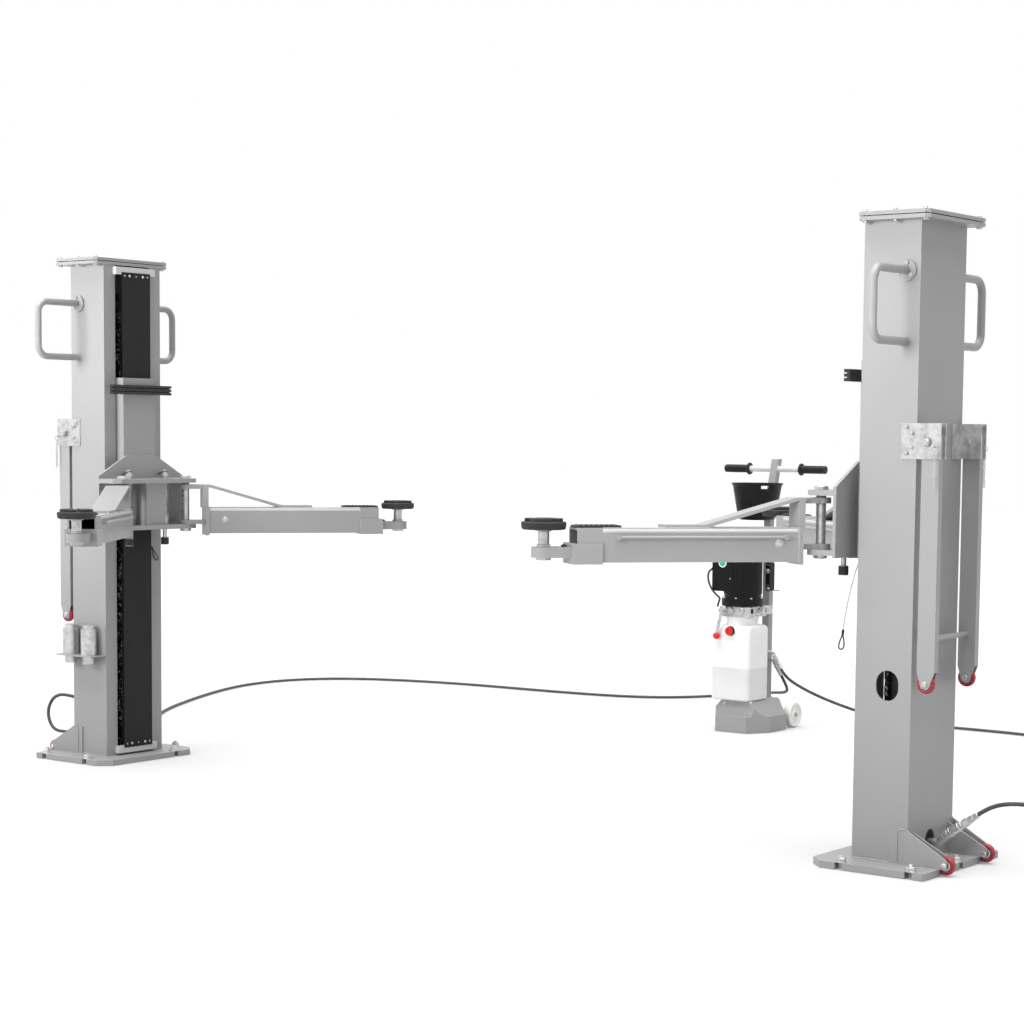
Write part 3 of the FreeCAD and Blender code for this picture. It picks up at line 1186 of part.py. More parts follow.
RIGHT_HOSE = [
    (1520, 2478, 277), (1540, 2483, 237), (1570, 2519, 196), (1628, 2597, 144), (1710, 2700, 90),
    (1815, 2792, 45), (1941, 2867, 17), (2085, 2912, 8), (2250, 2932, 6.5), (2425, 2930, 6.5),
    (2608, 2905, 6.5), (2790, 2860, 6.5), (2968, 2798, 6.5), (3140, 2720, 6.5), (3304, 2625, 6.5),
    (3458, 2512, 6.5), (3600, 2385, 6.5), (3726, 2240, 6.5), (3835, 2082, 6.5), (3925, 1912, 6.5),
    (3992, 1732, 6.5), (4038, 1545, 6.5), (4064, 1355, 6.5), (4073, 1165, 6.5), (4070, 975, 6.5),
    (4062, 790, 6.5), (4051, 615, 9), (4040, 462, 26), (4024, 330, 66), (3991, 215, 122),
    (3936, 118, 172), (3862, 55, 203), (3780, 27, 208), (3708, 22, 189), (3659, 20, 150),
]


def arc_radii(points):
    """The radius of each arc of a hose: as large as the two runs beside it allow."""
    radii = []
    for i in range(1, len(points) - 1):
        before = points[i] - points[i - 1]
        after = points[i + 1] - points[i]
        half_turn = before.getAngle(after) / 2
        radii.append(0.45 * min(before.Length, after.Length) / math.tan(half_turn))
    return radii


def carried(places, first_shift, last_shift):
    """A route whose ends follow what they are fixed to: the shift changes evenly along the route."""
    points = [point(*place_at) for place_at in places]
    way = [0.0]
    for i in range(1, len(points)):
        way.append(way[-1] + (points[i] - points[i - 1]).Length)
    return [points[i] + first_shift * (1 - way[i] / way[-1]) + last_shift * (way[i] / way[-1])
            for i in range(len(points))]


def hose(label, points):
    """A hose along its route, with its radii and its volume against section times length."""
    radii = arc_radii(points)
    made_hose = bent_tube(label, points, radii, size["hose_radius"])
    length = bent_path(points, radii).Length
    section = math.pi * size["hose_radius"] ** 2
    print("%s length %.0f mm, radii %s" % (label, length, [round(radius) for radius in radii]))
    print("%s volume %.5f of section times length" % (label, made_hose.Shape.Volume / (section * length)))
    return made_hose


still = point(0, 0, 0)
trolley_shift = point(size["trolley_across"], size["mast_away"], 0) - DRAWN_TROLLEY
post_shift = point(size["post_spacing"] - DRAWN_SPACING, 0, 0)
left_route = carried(LEFT_HOSE, still, trolley_shift)
right_route = carried(RIGHT_HOSE, trolley_shift, post_shift)
left_hose = hose("left_hose", left_route)
right_hose = hose("right_hose", right_route)
node("left_hose", left_hose)
node("right_hose", right_hose)


def fitting(label, route, reach, wall_x, radius):
    """A bent hose fitting in line with a hose's last run, from a wall across X to the hose's end."""
    end, before = route[0], route[1]
    elbow = end + (end - before).normalize() * reach
    root = point(wall_x, elbow.y, elbow.z)
    return bent_tube(label, [root, elbow, end], [radius * 1.3], radius)


mast_side = size["trolley_across"] + size["mast_size"] / 2
cylinder_back = size["post_spacing"] + size["cylinder_back"] + size["cylinder_radius"] + size["rest_gap"]
upper_fitting = fitting("upper_fitting", right_route, size["fitting_length"], mast_side,
                        size["fitting_radius"])
lower_fitting = fitting("lower_fitting", left_route[::-1], size["fitting_length"], mast_side,
                        size["fitting_radius"])
coupler = fitting("coupler", right_route[::-1], size["coupler_length"], cylinder_back,
                  size["coupler_radius"])
node("hose_fittings", group("hose_fittings", upper_fitting, lower_fitting, coupler))

document.recompute()


def check():
    """Stop if any feature failed or any node has no sound shape."""
    for feature in document.Objects:
        if "Invalid" in feature.State or "Error" in feature.State:
            raise RuntimeError("failed feature: %s %s" % (feature.Name, feature.State))
    for feature in nodes:
        if feature.Shape.isNull() or not feature.Shape.isValid():
            raise RuntimeError("bad shape: " + feature.Label)


check()
os.makedirs("parts", exist_ok=True)
for feature in nodes:
    feature.Shape.exportStep("parts/%s.step" % feature.Label)
print("%d nodes" % len(nodes))
for feature in nodes:
    box = feature.Shape.BoundBox
    print("%-24s solids %2d  volume %12.0f  x %7.0f %7.0f  y %7.0f %7.0f  z %7.0f %7.0f" % (
        feature.Label, len(feature.Shape.Solids), feature.Shape.Volume, box.XMin, box.XMax,
        box.YMin, box.YMax, box.ZMin, box.ZMax))
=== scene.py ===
"""Looks of a portable two post car lift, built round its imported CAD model.

Metres throughout: the origin is on the floor under the left column, +X runs to the right column,
-Y is the camera's side and +Z is up. The left post is drawn in local coordinates, with ahead for
the way to the other post, and the right post is its mirror image.
"""
import logging
import math
from dataclasses import dataclass, field
from enum import Enum
from itertools import accumulate
from typing import Sequence

import bpy
import numpy as np
from mathutils import Matrix, Vector


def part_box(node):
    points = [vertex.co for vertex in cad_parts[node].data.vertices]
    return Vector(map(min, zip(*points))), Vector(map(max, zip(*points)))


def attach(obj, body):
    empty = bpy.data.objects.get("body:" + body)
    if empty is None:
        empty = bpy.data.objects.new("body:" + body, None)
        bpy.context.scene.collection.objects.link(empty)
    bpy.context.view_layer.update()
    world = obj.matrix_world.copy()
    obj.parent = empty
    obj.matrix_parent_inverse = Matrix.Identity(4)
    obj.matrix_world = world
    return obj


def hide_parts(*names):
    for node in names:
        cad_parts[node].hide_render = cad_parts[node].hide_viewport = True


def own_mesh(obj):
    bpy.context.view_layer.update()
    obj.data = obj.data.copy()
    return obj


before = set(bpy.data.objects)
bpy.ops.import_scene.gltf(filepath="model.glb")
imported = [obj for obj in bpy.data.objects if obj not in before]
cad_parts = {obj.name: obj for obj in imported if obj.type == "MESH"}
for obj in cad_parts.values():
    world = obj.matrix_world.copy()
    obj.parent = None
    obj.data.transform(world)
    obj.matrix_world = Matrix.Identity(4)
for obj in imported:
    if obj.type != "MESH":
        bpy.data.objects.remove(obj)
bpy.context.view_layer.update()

LOG = logging.getLogger("lift")
POST_SPACING = 3.44
RIGHT_RISE = 0.027
SMOOTH_ANGLE = math.radians(32)
UP = (0.0, 0.0, 1.0)
STAND = np.array([[1.0, 0, 0], [0, 0, -1.0], [0, 1.0, 0]])
SIDES = (-1, 1)
PIVOT_AHEAD = 0.209
PIVOT_SIDE = 0.165
Point = Sequence[float]
Socket = bpy.types.NodeSocket
Material = bpy.types.Material


class Side(Enum):
    """The two posts."""

    LEFT = "left"
    RIGHT = "right"


class Row(Enum):
    """The camera's side of the lift and the side away from it."""

    NEAR = -1
    FAR = 1


class Lay(Enum):
    """How a bead or a band follows its path."""

    OPEN = False
    CLOSED = True


# surfaces: whole arrays of points, ring after ring


@dataclass
class Surface:
    """A mesh as arrays: points, four-sided faces, and flat end faces of many corners."""

    points: np.ndarray
    quads: np.ndarray
    caps: list[np.ndarray] = field(default_factory=list)
    uv: np.ndarray | None = None

    def flipped(self) -> "Surface":
        """The same surface with its faces turned round, for a mirror image."""
        uv = None if self.uv is None else self.uv.reshape(-1, 4, 2)[:, ::-1].reshape(-1, 2)
        return Surface(self.points, self.quads[:, ::-1], [cap[::-1] for cap in self.caps], uv)

    def mapped(self, turn: np.ndarray, shift: Point = (0, 0, 0)) -> "Surface":
        """The surface with every point multiplied by a 3 by 3 matrix and shifted.

        Args:
            turn: the matrix, whose determinant may be negative.
            shift: the vector added after the turn.

        Returns:
            A new surface whose faces still point outwards.
        """
        moved = Surface(self.points @ np.asarray(turn, float).T + np.asarray(shift, float),
                        self.quads, self.caps, self.uv)
        return moved.flipped() if np.linalg.det(turn) < 0 else moved

    def shifted(self, x: float = 0.0, y: float = 0.0, z: float = 0.0) -> "Surface":
        """The surface moved by a vector."""
        return self.mapped(np.eye(3), (x, y, z))

    def turned(self, degrees: float, about: Point = (0, 0, 0), axis: str = "Z") -> "Surface":
        """The surface turned about a line through a point, parallel to an axis."""
        turn = np.array(Matrix.Rotation(math.radians(degrees), 3, axis))
        centre = np.asarray(about, float)
        return self.mapped(turn, centre - turn @ centre)


def joined(surfaces: Sequence[Surface]) -> Surface:
    """Several surfaces as one, with the faces of each renumbered past the points before it."""
    starts = np.cumsum([0] + [len(s.points) for s in surfaces[:-1]])
    uv = None
    if all(s.uv is not None for s in surfaces):
        uv = np.concatenate([s.uv for s in surfaces])
    return Surface(np.concatenate([s.points for s in surfaces]),
                   np.concatenate([s.quads + n for s, n in zip(surfaces, starts)]),
                   [cap + n for s, n in zip(surfaces, starts) for cap in s.caps], uv)


def from_rings(rings: np.ndarray, loop: bool = False, uv_size: Point | None = None) -> Surface:
    """Skins a grid of points: rings[i, j] is point j of ring i, and each ring is closed.

    A face joins points j and j+1 of ring i to the same points of ring i+1. The faces point
    outwards where the points of a ring turn anticlockwise as seen from the next ring.

    Args:
        rings: an array of rings by points by 3.
        loop: whether the last ring meets the first. Otherwise both ends get a flat face.
        uv_size: length along the path and length round a ring, for a UV map in metres.

    Returns:
        A closed surface.
    """
    count, around = rings.shape[:2]
    spans = count if loop else count - 1
    i, j = np.meshgrid(np.arange(spans), np.arange(around), indexing="ij")
    n, k = (i + 1) % count, (j + 1) % around
    quads = np.stack([i * around + j, i * around + k, n * around + k, n * around + j], -1)
    ends = np.arange(around)
    caps = [] if loop else [ends[::-1], ends + (count - 1) * around]
    uv = None
    if uv_size is not None:
        u = np.stack([i, i, i + 1, i + 1], -1) * (uv_size[0] / spans)
        v = np.stack([j, j + 1, j + 1, j], -1) * (uv_size[1] / around)
        uv = np.stack([u, v], -1).reshape(-1, 2)
    return Surface(rings.reshape(-1, 3), quads.reshape(-1, 4), caps, uv)


def unit(vectors: np.ndarray) -> np.ndarray:
    """Each vector divided by its length."""
    return vectors / np.maximum(np.linalg.norm(vectors, axis=-1, keepdims=True), 1e-12)


def circle(radius: float, steps: int = 24, phase: float = 0.0) -> np.ndarray:
    """Points of a circle, anticlockwise: radius times cosine and sine of even angles."""
    angle = np.arange(steps) * (2 * math.pi / steps) + phase
    return radius * np.stack([np.cos(angle), np.sin(angle)], -1)


def rounded_box(width: float, height: float, corner: float, steps: int = 5) -> np.ndarray:
    """Points of a rectangle with round corners, anticlockwise: four quarter circles in turn."""
    angle = np.linspace(0, math.pi / 2, steps)
    corners = np.array([[1, 1], [-1, 1], [-1, -1], [1, -1]]) * [width / 2 - corner, height / 2 - corner]
    turns = angle[None] + (np.arange(4) * math.pi / 2)[:, None]
    arcs = corner * np.stack([np.cos(turns), np.sin(turns)], -1)
    return (corners[:, None] + arcs).reshape(-1, 2)


def axes_for(direction: Point, hint: Point = UP) -> tuple[np.ndarray, np.ndarray, np.ndarray]:
    """Two vectors across a direction and the direction itself, right-handed in that order."""
    way = unit(np.asarray(direction, float))
    side = np.asarray(hint, float)
    if abs(way @ unit(side)) > 0.95:
        side = np.array([1.0, 0.0, 0.0])
    first = unit(side - (side @ way) * way)
    return first, np.cross(way, first), way


def revolved(profile: Sequence[Point], base: Point, direction: Point = UP, steps: int = 32,
             loop: bool = False, phase: float = 0.0) -> Surface:
    """Turns a profile about a line: ring i is a circle of radius profile[i, 0] at height profile[i, 1].

    Args:
        profile: pairs of radius and height, going up on the outside.
        base: the point of the line at height 0.
        direction: the way the height grows.
        steps: points of a circle. Six give a hexagon.
        loop: whether the profile closes on itself, as on a ring with a hole.
        phase: the angle of the first point.

    Returns:
        A closed surface.
    """
    line = np.asarray(profile, float)
    first, second, way = axes_for(direction)
    around = circle(1.0, steps, phase)
    spokes = around[:, :1] * first + around[:, 1:] * second
    rings = np.asarray(base, float) + line[:, :1, None] * spokes[None] + line[:, 1:, None] * way
    return from_rings(rings, loop)


def swept(path: np.ndarray, outline: np.ndarray, lay: Lay = Lay.OPEN, hint: Point = UP,
          scale: np.ndarray | None = None, uv: bool = False) -> Surface:
    """Carries an outline along a path: ring i is the outline across the path's tangent at point i.

    The outline's first axis is the hint less its part along the tangent, so the hint is a vector
    that the path never follows, such as the normal of a flat path.

    Args:
        path: points by 3.
        outline: points by 2, anticlockwise.
        lay: whether the path closes on itself.
        hint: the vector that holds the outline upright.
        scale: a factor on the outline at each point of the path.
        uv: whether the surface gets a UV map in metres.

    Returns:
        A closed surface.
    """
    path = np.asarray(path, float)
    if lay is Lay.CLOSED:
        tangent = unit(np.roll(path, -1, 0) - np.roll(path, 1, 0))
    else:
        tangent = unit(np.gradient(path, axis=0))
    side = np.broadcast_to(np.asarray(hint, float), path.shape)
    first = unit(side - np.sum(side * tangent, -1, keepdims=True) * tangent)
    return skinned(path, outline, first, np.cross(tangent, first), lay, scale, uv)


def skinned(path: np.ndarray, outline: np.ndarray, first: np.ndarray, second: np.ndarray,
            lay: Lay = Lay.OPEN, scale: np.ndarray | None = None, uv: bool = False) -> Surface:
    """Rings of an outline on given axes: path point plus outline x times first plus y times second."""
    size = np.ones(len(path)) if scale is None else scale
    rings = (path[:, None] + size[:, None, None] *
             (outline[None, :, :1] * first[:, None] + outline[None, :, 1:] * second[:, None]))
    lengths = (np.linalg.norm(np.diff(path, axis=0), axis=1).sum(),
               np.linalg.norm(np.roll(outline, -1, 0) - outline, axis=1).sum())
    return from_rings(rings, lay is Lay.CLOSED, lengths if uv else None)


def tube_along(path: np.ndarray, radius: float, steps: int = 12, uv: bool = True) -> Surface:
    """A round tube along any path in space, on axes that never spin.

    Each station's first axis is the one before it, less its part along the new tangent, so the
    axes are carried along the path without turning about it.

    Args:
        path: points by 3.
        radius: the tube's radius.
        steps: points round the tube.
        uv: whether the surface gets a UV map in metres.

    Returns:
        A closed surface.
    """
    tangent = unit(np.gradient(path, axis=0))
    start = axes_for(tangent[0])[0]

    def carried(axis: np.ndarray, way: np.ndarray) -> np.ndarray:
        """An axis made square to the next tangent."""
        return unit(axis - (axis @ way) * way)

    first = np.array(list(accumulate(tangent[1:], carried, initial=start)))
    return skinned(path, circle(radius, steps), first, np.cross(tangent, first), uv=uv)


def slab(outline: Sequence[Point], low: float, high: float, turn: np.ndarray | None = None,
         shift: Point = (0, 0, 0), bevel: float = 0.0) -> Surface:
    """A flat plate: the outline at four heights, drawn in by the bevel at the two outer ones.

    Args:
        outline: points by 2, anticlockwise, round their middle.
        low: the lower face.
        high: the upper face.
        turn: a matrix that sets the plate's own axes, or None for upright.
        shift: the place of the plate's own origin.
        bevel: the width of the broken edge.

    Returns:
        A closed surface.
    """
    flat = np.asarray(outline, float)
    middle = (flat.max(0) + flat.min(0)) / 2
    inner = middle + (flat - middle) * (1 - bevel / np.maximum(np.abs(flat - middle).max(0), 1e-9))
    levels = [(inner, low), (flat, low + bevel), (flat, high - bevel), (inner, high)]
    if not bevel:
        levels = [(flat, low), (flat, high)]
    rings = np.stack([np.column_stack([ring, np.full(len(ring), z)]) for ring, z in levels])
    return from_rings(rings).mapped(np.eye(3) if turn is None else turn, shift)


def domed_bolt(base: Point, direction: Point, radius: float, height: float) -> Surface:
    """A round bolt head: a straight rim, then a quarter ellipse up to a small flat top."""
    angle = np.linspace(0, math.radians(84), 7)
    dome = np.column_stack([radius * np.cos(angle), height * (0.3 + 0.7 * np.sin(angle))])
    return revolved(np.vstack([[radius, 0.0], dome]), base, direction, 20)


def hex_head(base: Point, direction: Point, across: float, height: float, phase: float = 0.3) -> Surface:
    """A six-sided nut or head: the hexagon's corners are drawn in over the last eighth of its height."""
    corner = across / math.sqrt(3)
    profile = [(corner, 0), (corner, height * 0.82), (corner * 0.88, height)]
    return revolved(profile, base, direction, 6, phase=phase)


def washer(base: Point, direction: Point, radius: float, height: float = 0.0025) -> Surface:
    """A flat round washer with a broken upper edge."""
    return revolved([(radius, 0), (radius, height * 0.7), (radius - height * 0.3, height)],
                    base, direction, 24)


def threaded_stud(base: Point, direction: Point, radius: float, length: float,
                  pitch: float = 0.002) -> Surface:
    """A threaded rod: its radius falls and rises by a tenth along each pitch, as a row of grooves."""
    count = max(3, round(length / pitch))
    heights = np.linspace(0, length, 2 * count + 1)
    radii = radius * (1 - 0.1 * (np.arange(2 * count + 1) % 2))
    return revolved(np.column_stack([radii, heights]), base, direction, 14)


def bolt_with_nut(base: Point, direction: Point, size: float, stand: float = 0.0) -> Surface:
    """A washer, a nut and the end of the stud that stands out of it, for a bolt of a given size."""
    way = unit(np.asarray(direction, float))
    foot = np.asarray(base, float)
    parts = [washer(foot, way, size * 1.15), hex_head(foot + way * 0.002, way, size * 1.65, size * 0.8)]
    if stand:
        parts.append(threaded_stud(foot + way * (0.0015 + size * 0.75), way, size / 2, stand))
    return joined(parts)


def weld_bead(path: Sequence[Point], radius: float, hint: Point = UP) -> Surface:
    """A weld bead: a small round outline whose size ripples along the path, one ripple to 5 mm.

    Args:
        path: the corners of the seam.
        radius: the bead's mean radius.
        hint: a vector that the seam never follows.

    Returns:
        A closed surface with tapered ends.
    """
    corners = np.asarray(path, float)
    lengths = np.concatenate([[0], np.cumsum(np.linalg.norm(np.diff(corners, axis=0), axis=1))])
    travel = np.linspace(0, lengths[-1], max(8, int(lengths[-1] / 0.0017)))
    line = np.stack([np.interp(travel, lengths, corners[:, axis]) for axis in range(3)], -1)
    ripple = 1 + 0.16 * np.sin(travel * 2 * math.pi / 0.005)
    ends = np.clip(np.minimum(travel, lengths[-1] - travel) / (1.5 * radius), 0.25, 1)
    return swept(line, circle(radius, 8), hint=hint, scale=ripple * ends)


def coil(base: Point, radius: float, wire: float, height: float, turns: float) -> Surface:
    """A compression spring: a round wire carried along a helix, whose height is the share of the turns.

    The first and last turns lie flat: the height runs as a smooth step from 0 to the full height.
    """
    share = np.linspace(0, 1, int(turns * 20))
    angle = share * turns * 2 * math.pi
    flat = 1.0 / turns
    rise = np.clip((share - flat * 0.8) / (1 - 1.6 * flat), 0, 1)
    z = wire + (height - 2 * wire) * (0.06 * share + 0.94 * rise)
    path = np.stack([radius * np.cos(angle), radius * np.sin(angle), z], -1) + np.asarray(base, float)
    return swept(path, circle(wire, 6), hint=UP)


def hoop(centre: Point, first: Point, second: Point, wire: float, steps: int = 24,
         sides: int = 8) -> Surface:
    """A closed ring of round wire: centre plus cosine times one half axis and sine times the other.

    Args:
        centre: the ring's middle.
        first: one half axis of the oval, a vector.
        second: the other half axis.
        wire: the wire's radius.
        steps: points along the ring.
        sides: points round the wire.

    Returns:
        A closed surface.
    """
    angle = np.linspace(0, 2 * math.pi, steps, endpoint=False)[:, None]
    path = np.asarray(centre) + np.cos(angle) * np.asarray(first) + np.sin(angle) * np.asarray(second)
    return swept(path, circle(wire, sides), Lay.CLOSED, np.cross(second, first))


# finishes


class Graph:
    """A material and its nodes, with short ways to add and join them."""

    def __init__(self, name: str) -> None:
        """Starts a material that holds one principled shader."""
        self.material = bpy.data.materials.new(name)
        self.material.use_nodes = True
        self.tree = self.material.node_tree
        self.tree.nodes.clear()
        self.output = self.node("OutputMaterial")
        self.shader = self.node("BsdfPrincipled")
        self.join(self.shader.outputs["BSDF"], self.output.inputs["Surface"])
        self.place = self.node("TexCoord").outputs["Object"]

    def join(self, out: Socket, into: Socket) -> None:
        """Links two sockets."""
        self.tree.links.new(out, into)

    def feed(self, socket: Socket, value: object) -> None:
        """Sets a socket from a number, a colour or another socket."""
        if isinstance(value, Socket):
            self.join(value, socket)
        elif value is not None:
            socket.default_value = value

    def fill(self, node: bpy.types.Node, values: dict[str, object]) -> None:
        """Feeds a node's inputs, named with underscores for spaces."""
        for name, value in values.items():
            self.feed(node.inputs[name.replace("_", " ")], value)

    def node(self, kind: str, *values: object, **named: object) -> bpy.types.Node:
        """Adds a node and feeds its inputs, in their order or by their names."""
        node = self.tree.nodes.new(f"ShaderNode{kind}")
        for socket, value in zip(node.inputs, values):
            self.feed(socket, value)
        self.fill(node, named)
        return node

    def mapped(self, scale: Point, place: Socket | None = None) -> Socket:
        """Coordinates multiplied by a scale on each axis."""
        return self.node("Mapping", Vector=place or self.place, Scale=scale).outputs["Vector"]

    def uv(self) -> Socket:
        """The piece's own UV map, in metres along and round it."""
        return self.node("UVMap").outputs["UV"]

    def noise(self, scale: float, detail: float = 3.0, place: Socket | None = None,
              rough: float = 0.5) -> Socket:
        """Smooth noise, from 0 to 1."""
        return self.node("TexNoise", Vector=place or self.place, Scale=scale, Detail=detail,
                         Roughness=rough).outputs["Fac"]

    def axis(self, name: str, place: Socket | None = None) -> Socket:
        """One coordinate of a vector, X, Y or Z."""
        return self.node("SeparateXYZ", Vector=place or self.place).outputs[name]

    def math(self, operation: str, *values: object) -> Socket:
        """One step of arithmetic on numbers or sockets."""
        node = self.node("Math", *values)
        node.operation = operation
        return node.outputs["Value"]

    def ranged(self, value: Socket, low: float, high: float, start: float = 0.0,
               end: float = 1.0) -> Socket:
        """A value carried from one range to another, and held at its ends."""
        return self.node("MapRange", value, low, high, start, end).outputs["Result"]

    def mix(self, share: object, first: object, second: object) -> Socket:
        """Two colours mixed by a share."""
        node = self.node("Mix")
        node.data_type = "RGBA"
        self.feed(node.inputs["Factor"], share)
        colours = [socket for socket in node.inputs if socket.type == "RGBA"]
        self.feed(colours[0], first)
        self.feed(colours[1], second)
        return [socket for socket in node.outputs if socket.type == "RGBA"][0]

    def bump(self, height: Socket, depth: float, strength: float = 1.0) -> None:
        """Raises the surface by the height times a depth in metres, on top of earlier bumps."""
        node = self.node("Bump", Strength=strength, Distance=depth, Height=height)
        normal = self.shader.inputs["Normal"]
        if normal.is_linked:
            self.join(normal.links[0].from_socket, node.inputs["Normal"])
        self.join(node.outputs["Normal"], normal)

    def edges(self, radius: float) -> Socket:
        """A share that rises to 1 on edges: how far a rounded normal leans from the true one."""
        rounded = self.node("Bevel", Radius=radius)
        rounded.samples = 4
        true = self.node("NewGeometry")
        dot = self.node("VectorMath", rounded.outputs["Normal"], true.outputs["Normal"])
        dot.operation = "DOT_PRODUCT"
        return self.ranged(dot.outputs["Value"], 0.995, 0.9)

    def set(self, **values: object) -> None:
        """Feeds the shader's inputs."""
        self.fill(self.shader, values)


def grey(level: float) -> tuple[float, float, float, float]:
    """A neutral colour from its level on screen, from 0 to 1."""
    return tone(level, level, level)


def tone(red: float, green: float, blue: float) -> tuple[float, float, float, float]:
    """A colour from its levels on screen, by the curve ((c + 0.055) / 1.055) to the power 2.4."""
    levels = np.array([red, green, blue])
    linear = np.where(levels <= 0.04045, levels / 12.92, ((levels + 0.055) / 1.055) ** 2.4)
    return (*linear.tolist(), 1.0)


def satin_paint(name: str = "grey_satin_paint", level: float = 0.588, wear_and_highlight_level: float = 0.74,
                gloss_floor: float = 0.36) -> Material:
    """Satin powder paint on steel, with orange peel, faint clouds, lighter scuffs of wear and a painted
    highlight on the edges.
    """
    g = Graph(name)
    clouds = g.ranged(g.noise(2.3, 4), 0.3, 0.7)
    base = g.mix(clouds, grey(level - 0.012), grey(level + 0.012))
    scuffs = g.ranged(g.noise(26, 6, g.mapped((1, 1, 0.35)), 0.75), 0.66, 0.8)
    base = g.mix(g.math("MULTIPLY", scuffs, 0.16), base, grey(wear_and_highlight_level))
    # painted highlight: a bevel mask lightens the edges towards the wear and highlight level, broken up by
    # noise
    edge_highlight = g.math("MULTIPLY", g.edges(0.0016), g.ranged(g.noise(70, 3), 0.3, 0.62, 0.15, 0.75))
    g.set(Base_Color=g.mix(edge_highlight, base, grey(wear_and_highlight_level)),
          Roughness=g.ranged(g.noise(9, 4), 0.2, 0.8, gloss_floor, gloss_floor + 0.12))
    g.bump(g.noise(420, 2), 0.00006)
    g.bump(g.noise(14, 2), 0.0005, 0.5)
    return g.material


def zinc_plate(name: str = "bright_zinc", level: float = 0.80, spot_level: float = 0.62,
               roughness: float = 0.28) -> Material:
    """Bright zinc plate, a little clouded, with fine brushed lines and darker spots."""
    g = Graph(name)
    clouds = g.ranged(g.noise(38, 5, rough=0.7), 0.42, 0.72)
    g.set(Base_Color=g.mix(clouds, grey(level), grey(spot_level)), Metallic=0.7,
          Roughness=g.ranged(g.noise(90, 3), 0.3, 0.7, roughness, roughness + 0.16))
    g.bump(g.noise(300, 3, g.mapped((1, 1, 0.08))), 0.00005)
    return g.material


def moulded_rubber(name: str = "black_moulded_rubber", level: float = 0.13, rubbed_level: float = 0.26,
                   pit_depth: float = 0.0002) -> Material:
    """Black moulded rubber: matt, finely pitted, greyer where it is rubbed."""
    g = Graph(name)
    rubbed = g.math("MULTIPLY", g.edges(0.0025), g.ranged(g.noise(60, 4), 0.35, 0.7))
    dust = g.math("MULTIPLY", g.ranged(g.noise(17, 5), 0.5, 0.8), 0.35)
    g.set(Base_Color=g.mix(g.math("MAXIMUM", rubbed, dust), grey(level), grey(rubbed_level)),
          Roughness=g.ranged(g.noise(30, 3), 0.3, 0.7, 0.55, 0.75))
    g.bump(g.noise(650, 3), pit_depth)
    return g.material


def woven_cover(name: str = "black_cover_band", level: float = 0.035, thread: float = 0.0016) -> Material:
    """The black cover band in the column's mouth: coated cloth with a fine square weave.

    The weave is the product of two sine waves, one across and one down.
    """
    g = Graph(name)
    rate = 2 * math.pi / thread
    across = g.math("SINE", g.math("MULTIPLY", g.axis("Y"), rate))
    down = g.math("SINE", g.math("MULTIPLY", g.axis("Z"), rate))
    weave = g.math("MULTIPLY", across, down)
    streaks = g.ranged(g.noise(6, 5, g.mapped((6, 6, 0.3))), 0.35, 0.75)
    g.set(Base_Color=g.mix(streaks, grey(level), grey(level + 0.035)),
          Roughness=g.ranged(streaks, 0, 1, 0.55, 0.7), Specular_IOR_Level=0.3)
    g.bump(weave, 0.00012, 0.7)
    return g.material


def moulded_plastic(name: str, colour: tuple[float, float, float], roughness: float = 0.42,
                    shade: float = 0.85, shine: float = 0.5, grain: float = 0.00007) -> Material:
    """Moulded plastic of one colour with a fine spark-eroded grain."""
    g = Graph(name)
    darker = tuple(c * shade for c in colour)
    clouds = g.ranged(g.noise(12, 4), 0.3, 0.75)
    g.set(Base_Color=g.mix(clouds, tone(*colour), tone(*darker)),
          Roughness=g.ranged(g.noise(25, 3), 0.2, 0.8, roughness - 0.06, roughness + 0.08),
          Specular_IOR_Level=shine)
    g.bump(g.noise(900, 2), grain)
    return g.material


def black_enamel(name: str = "black_enamel", level: float = 0.035, edge_level: float = 0.20) -> Material:
    """Black enamel on cast aluminium: half gloss, with the casting's slow ripple under it."""
    g = Graph(name)
    chips = g.math("MULTIPLY", g.edges(0.002), g.ranged(g.noise(120, 4), 0.5, 0.7))
    g.set(Base_Color=g.mix(chips, grey(level), grey(edge_level)),
          Roughness=g.ranged(g.noise(18, 3), 0.3, 0.7, 0.34, 0.46), Specular_IOR_Level=0.2)
    g.bump(g.noise(160, 3), 0.00025)
    return g.material


def wheel_tyre(name: str = "red_wheel_tyre", colour: tuple[float, float, float] = (0.60, 0.09, 0.15),
               worn: tuple[float, float, float] = (0.80, 0.42, 0.42)) -> Material:
    """Red cast polyurethane, lighter and worn where it rolls."""
    g = Graph(name)
    scuffs = g.ranged(g.noise(140, 4), 0.5, 0.75, 0, 0.5)
    g.set(Base_Color=g.mix(scuffs, tone(*colour), tone(*worn)),
          Roughness=g.ranged(g.noise(60, 2), 0.2, 0.8, 0.3, 0.45),
          Subsurface_Weight=0.12, Subsurface_Radius=(0.004, 0.001, 0.001))
    g.bump(g.noise(500, 2), 0.0001)
    return g.material


def oil_tank_plastic(name: str = "milky_tank_plastic", oil_level: float = 0.276,
                     edge: float = 0.004) -> Material:
    """Milky tank plastic that shows the oil behind it: darker below the oil level, with a soft edge.

    The oil's share falls from 1 to 0 across the edge at the oil level.
    """
    g = Graph(name)
    height = g.axis("Z")
    wet = g.ranged(height, oil_level - edge, oil_level + edge, 1, 0)
    depth = g.ranged(height, 0.15, oil_level, 0.15, 1)
    oil = g.mix(g.ranged(g.noise(9, 3), 0.35, 0.65), grey(0.83), grey(0.76))
    oil = g.mix(g.math("MULTIPLY", depth, 0.55), grey(0.90), oil)
    clear = g.mix(g.ranged(g.noise(6, 3), 0.3, 0.7), grey(0.935), grey(0.90))
    g.set(Base_Color=g.mix(wet, clear, oil),
          Roughness=g.ranged(g.noise(20, 3), 0.3, 0.7, 0.32, 0.46),
          Subsurface_Weight=0.35, Subsurface_Radius=(0.02, 0.02, 0.02))
    g.bump(g.noise(260, 3), 0.0001)
    return g.material


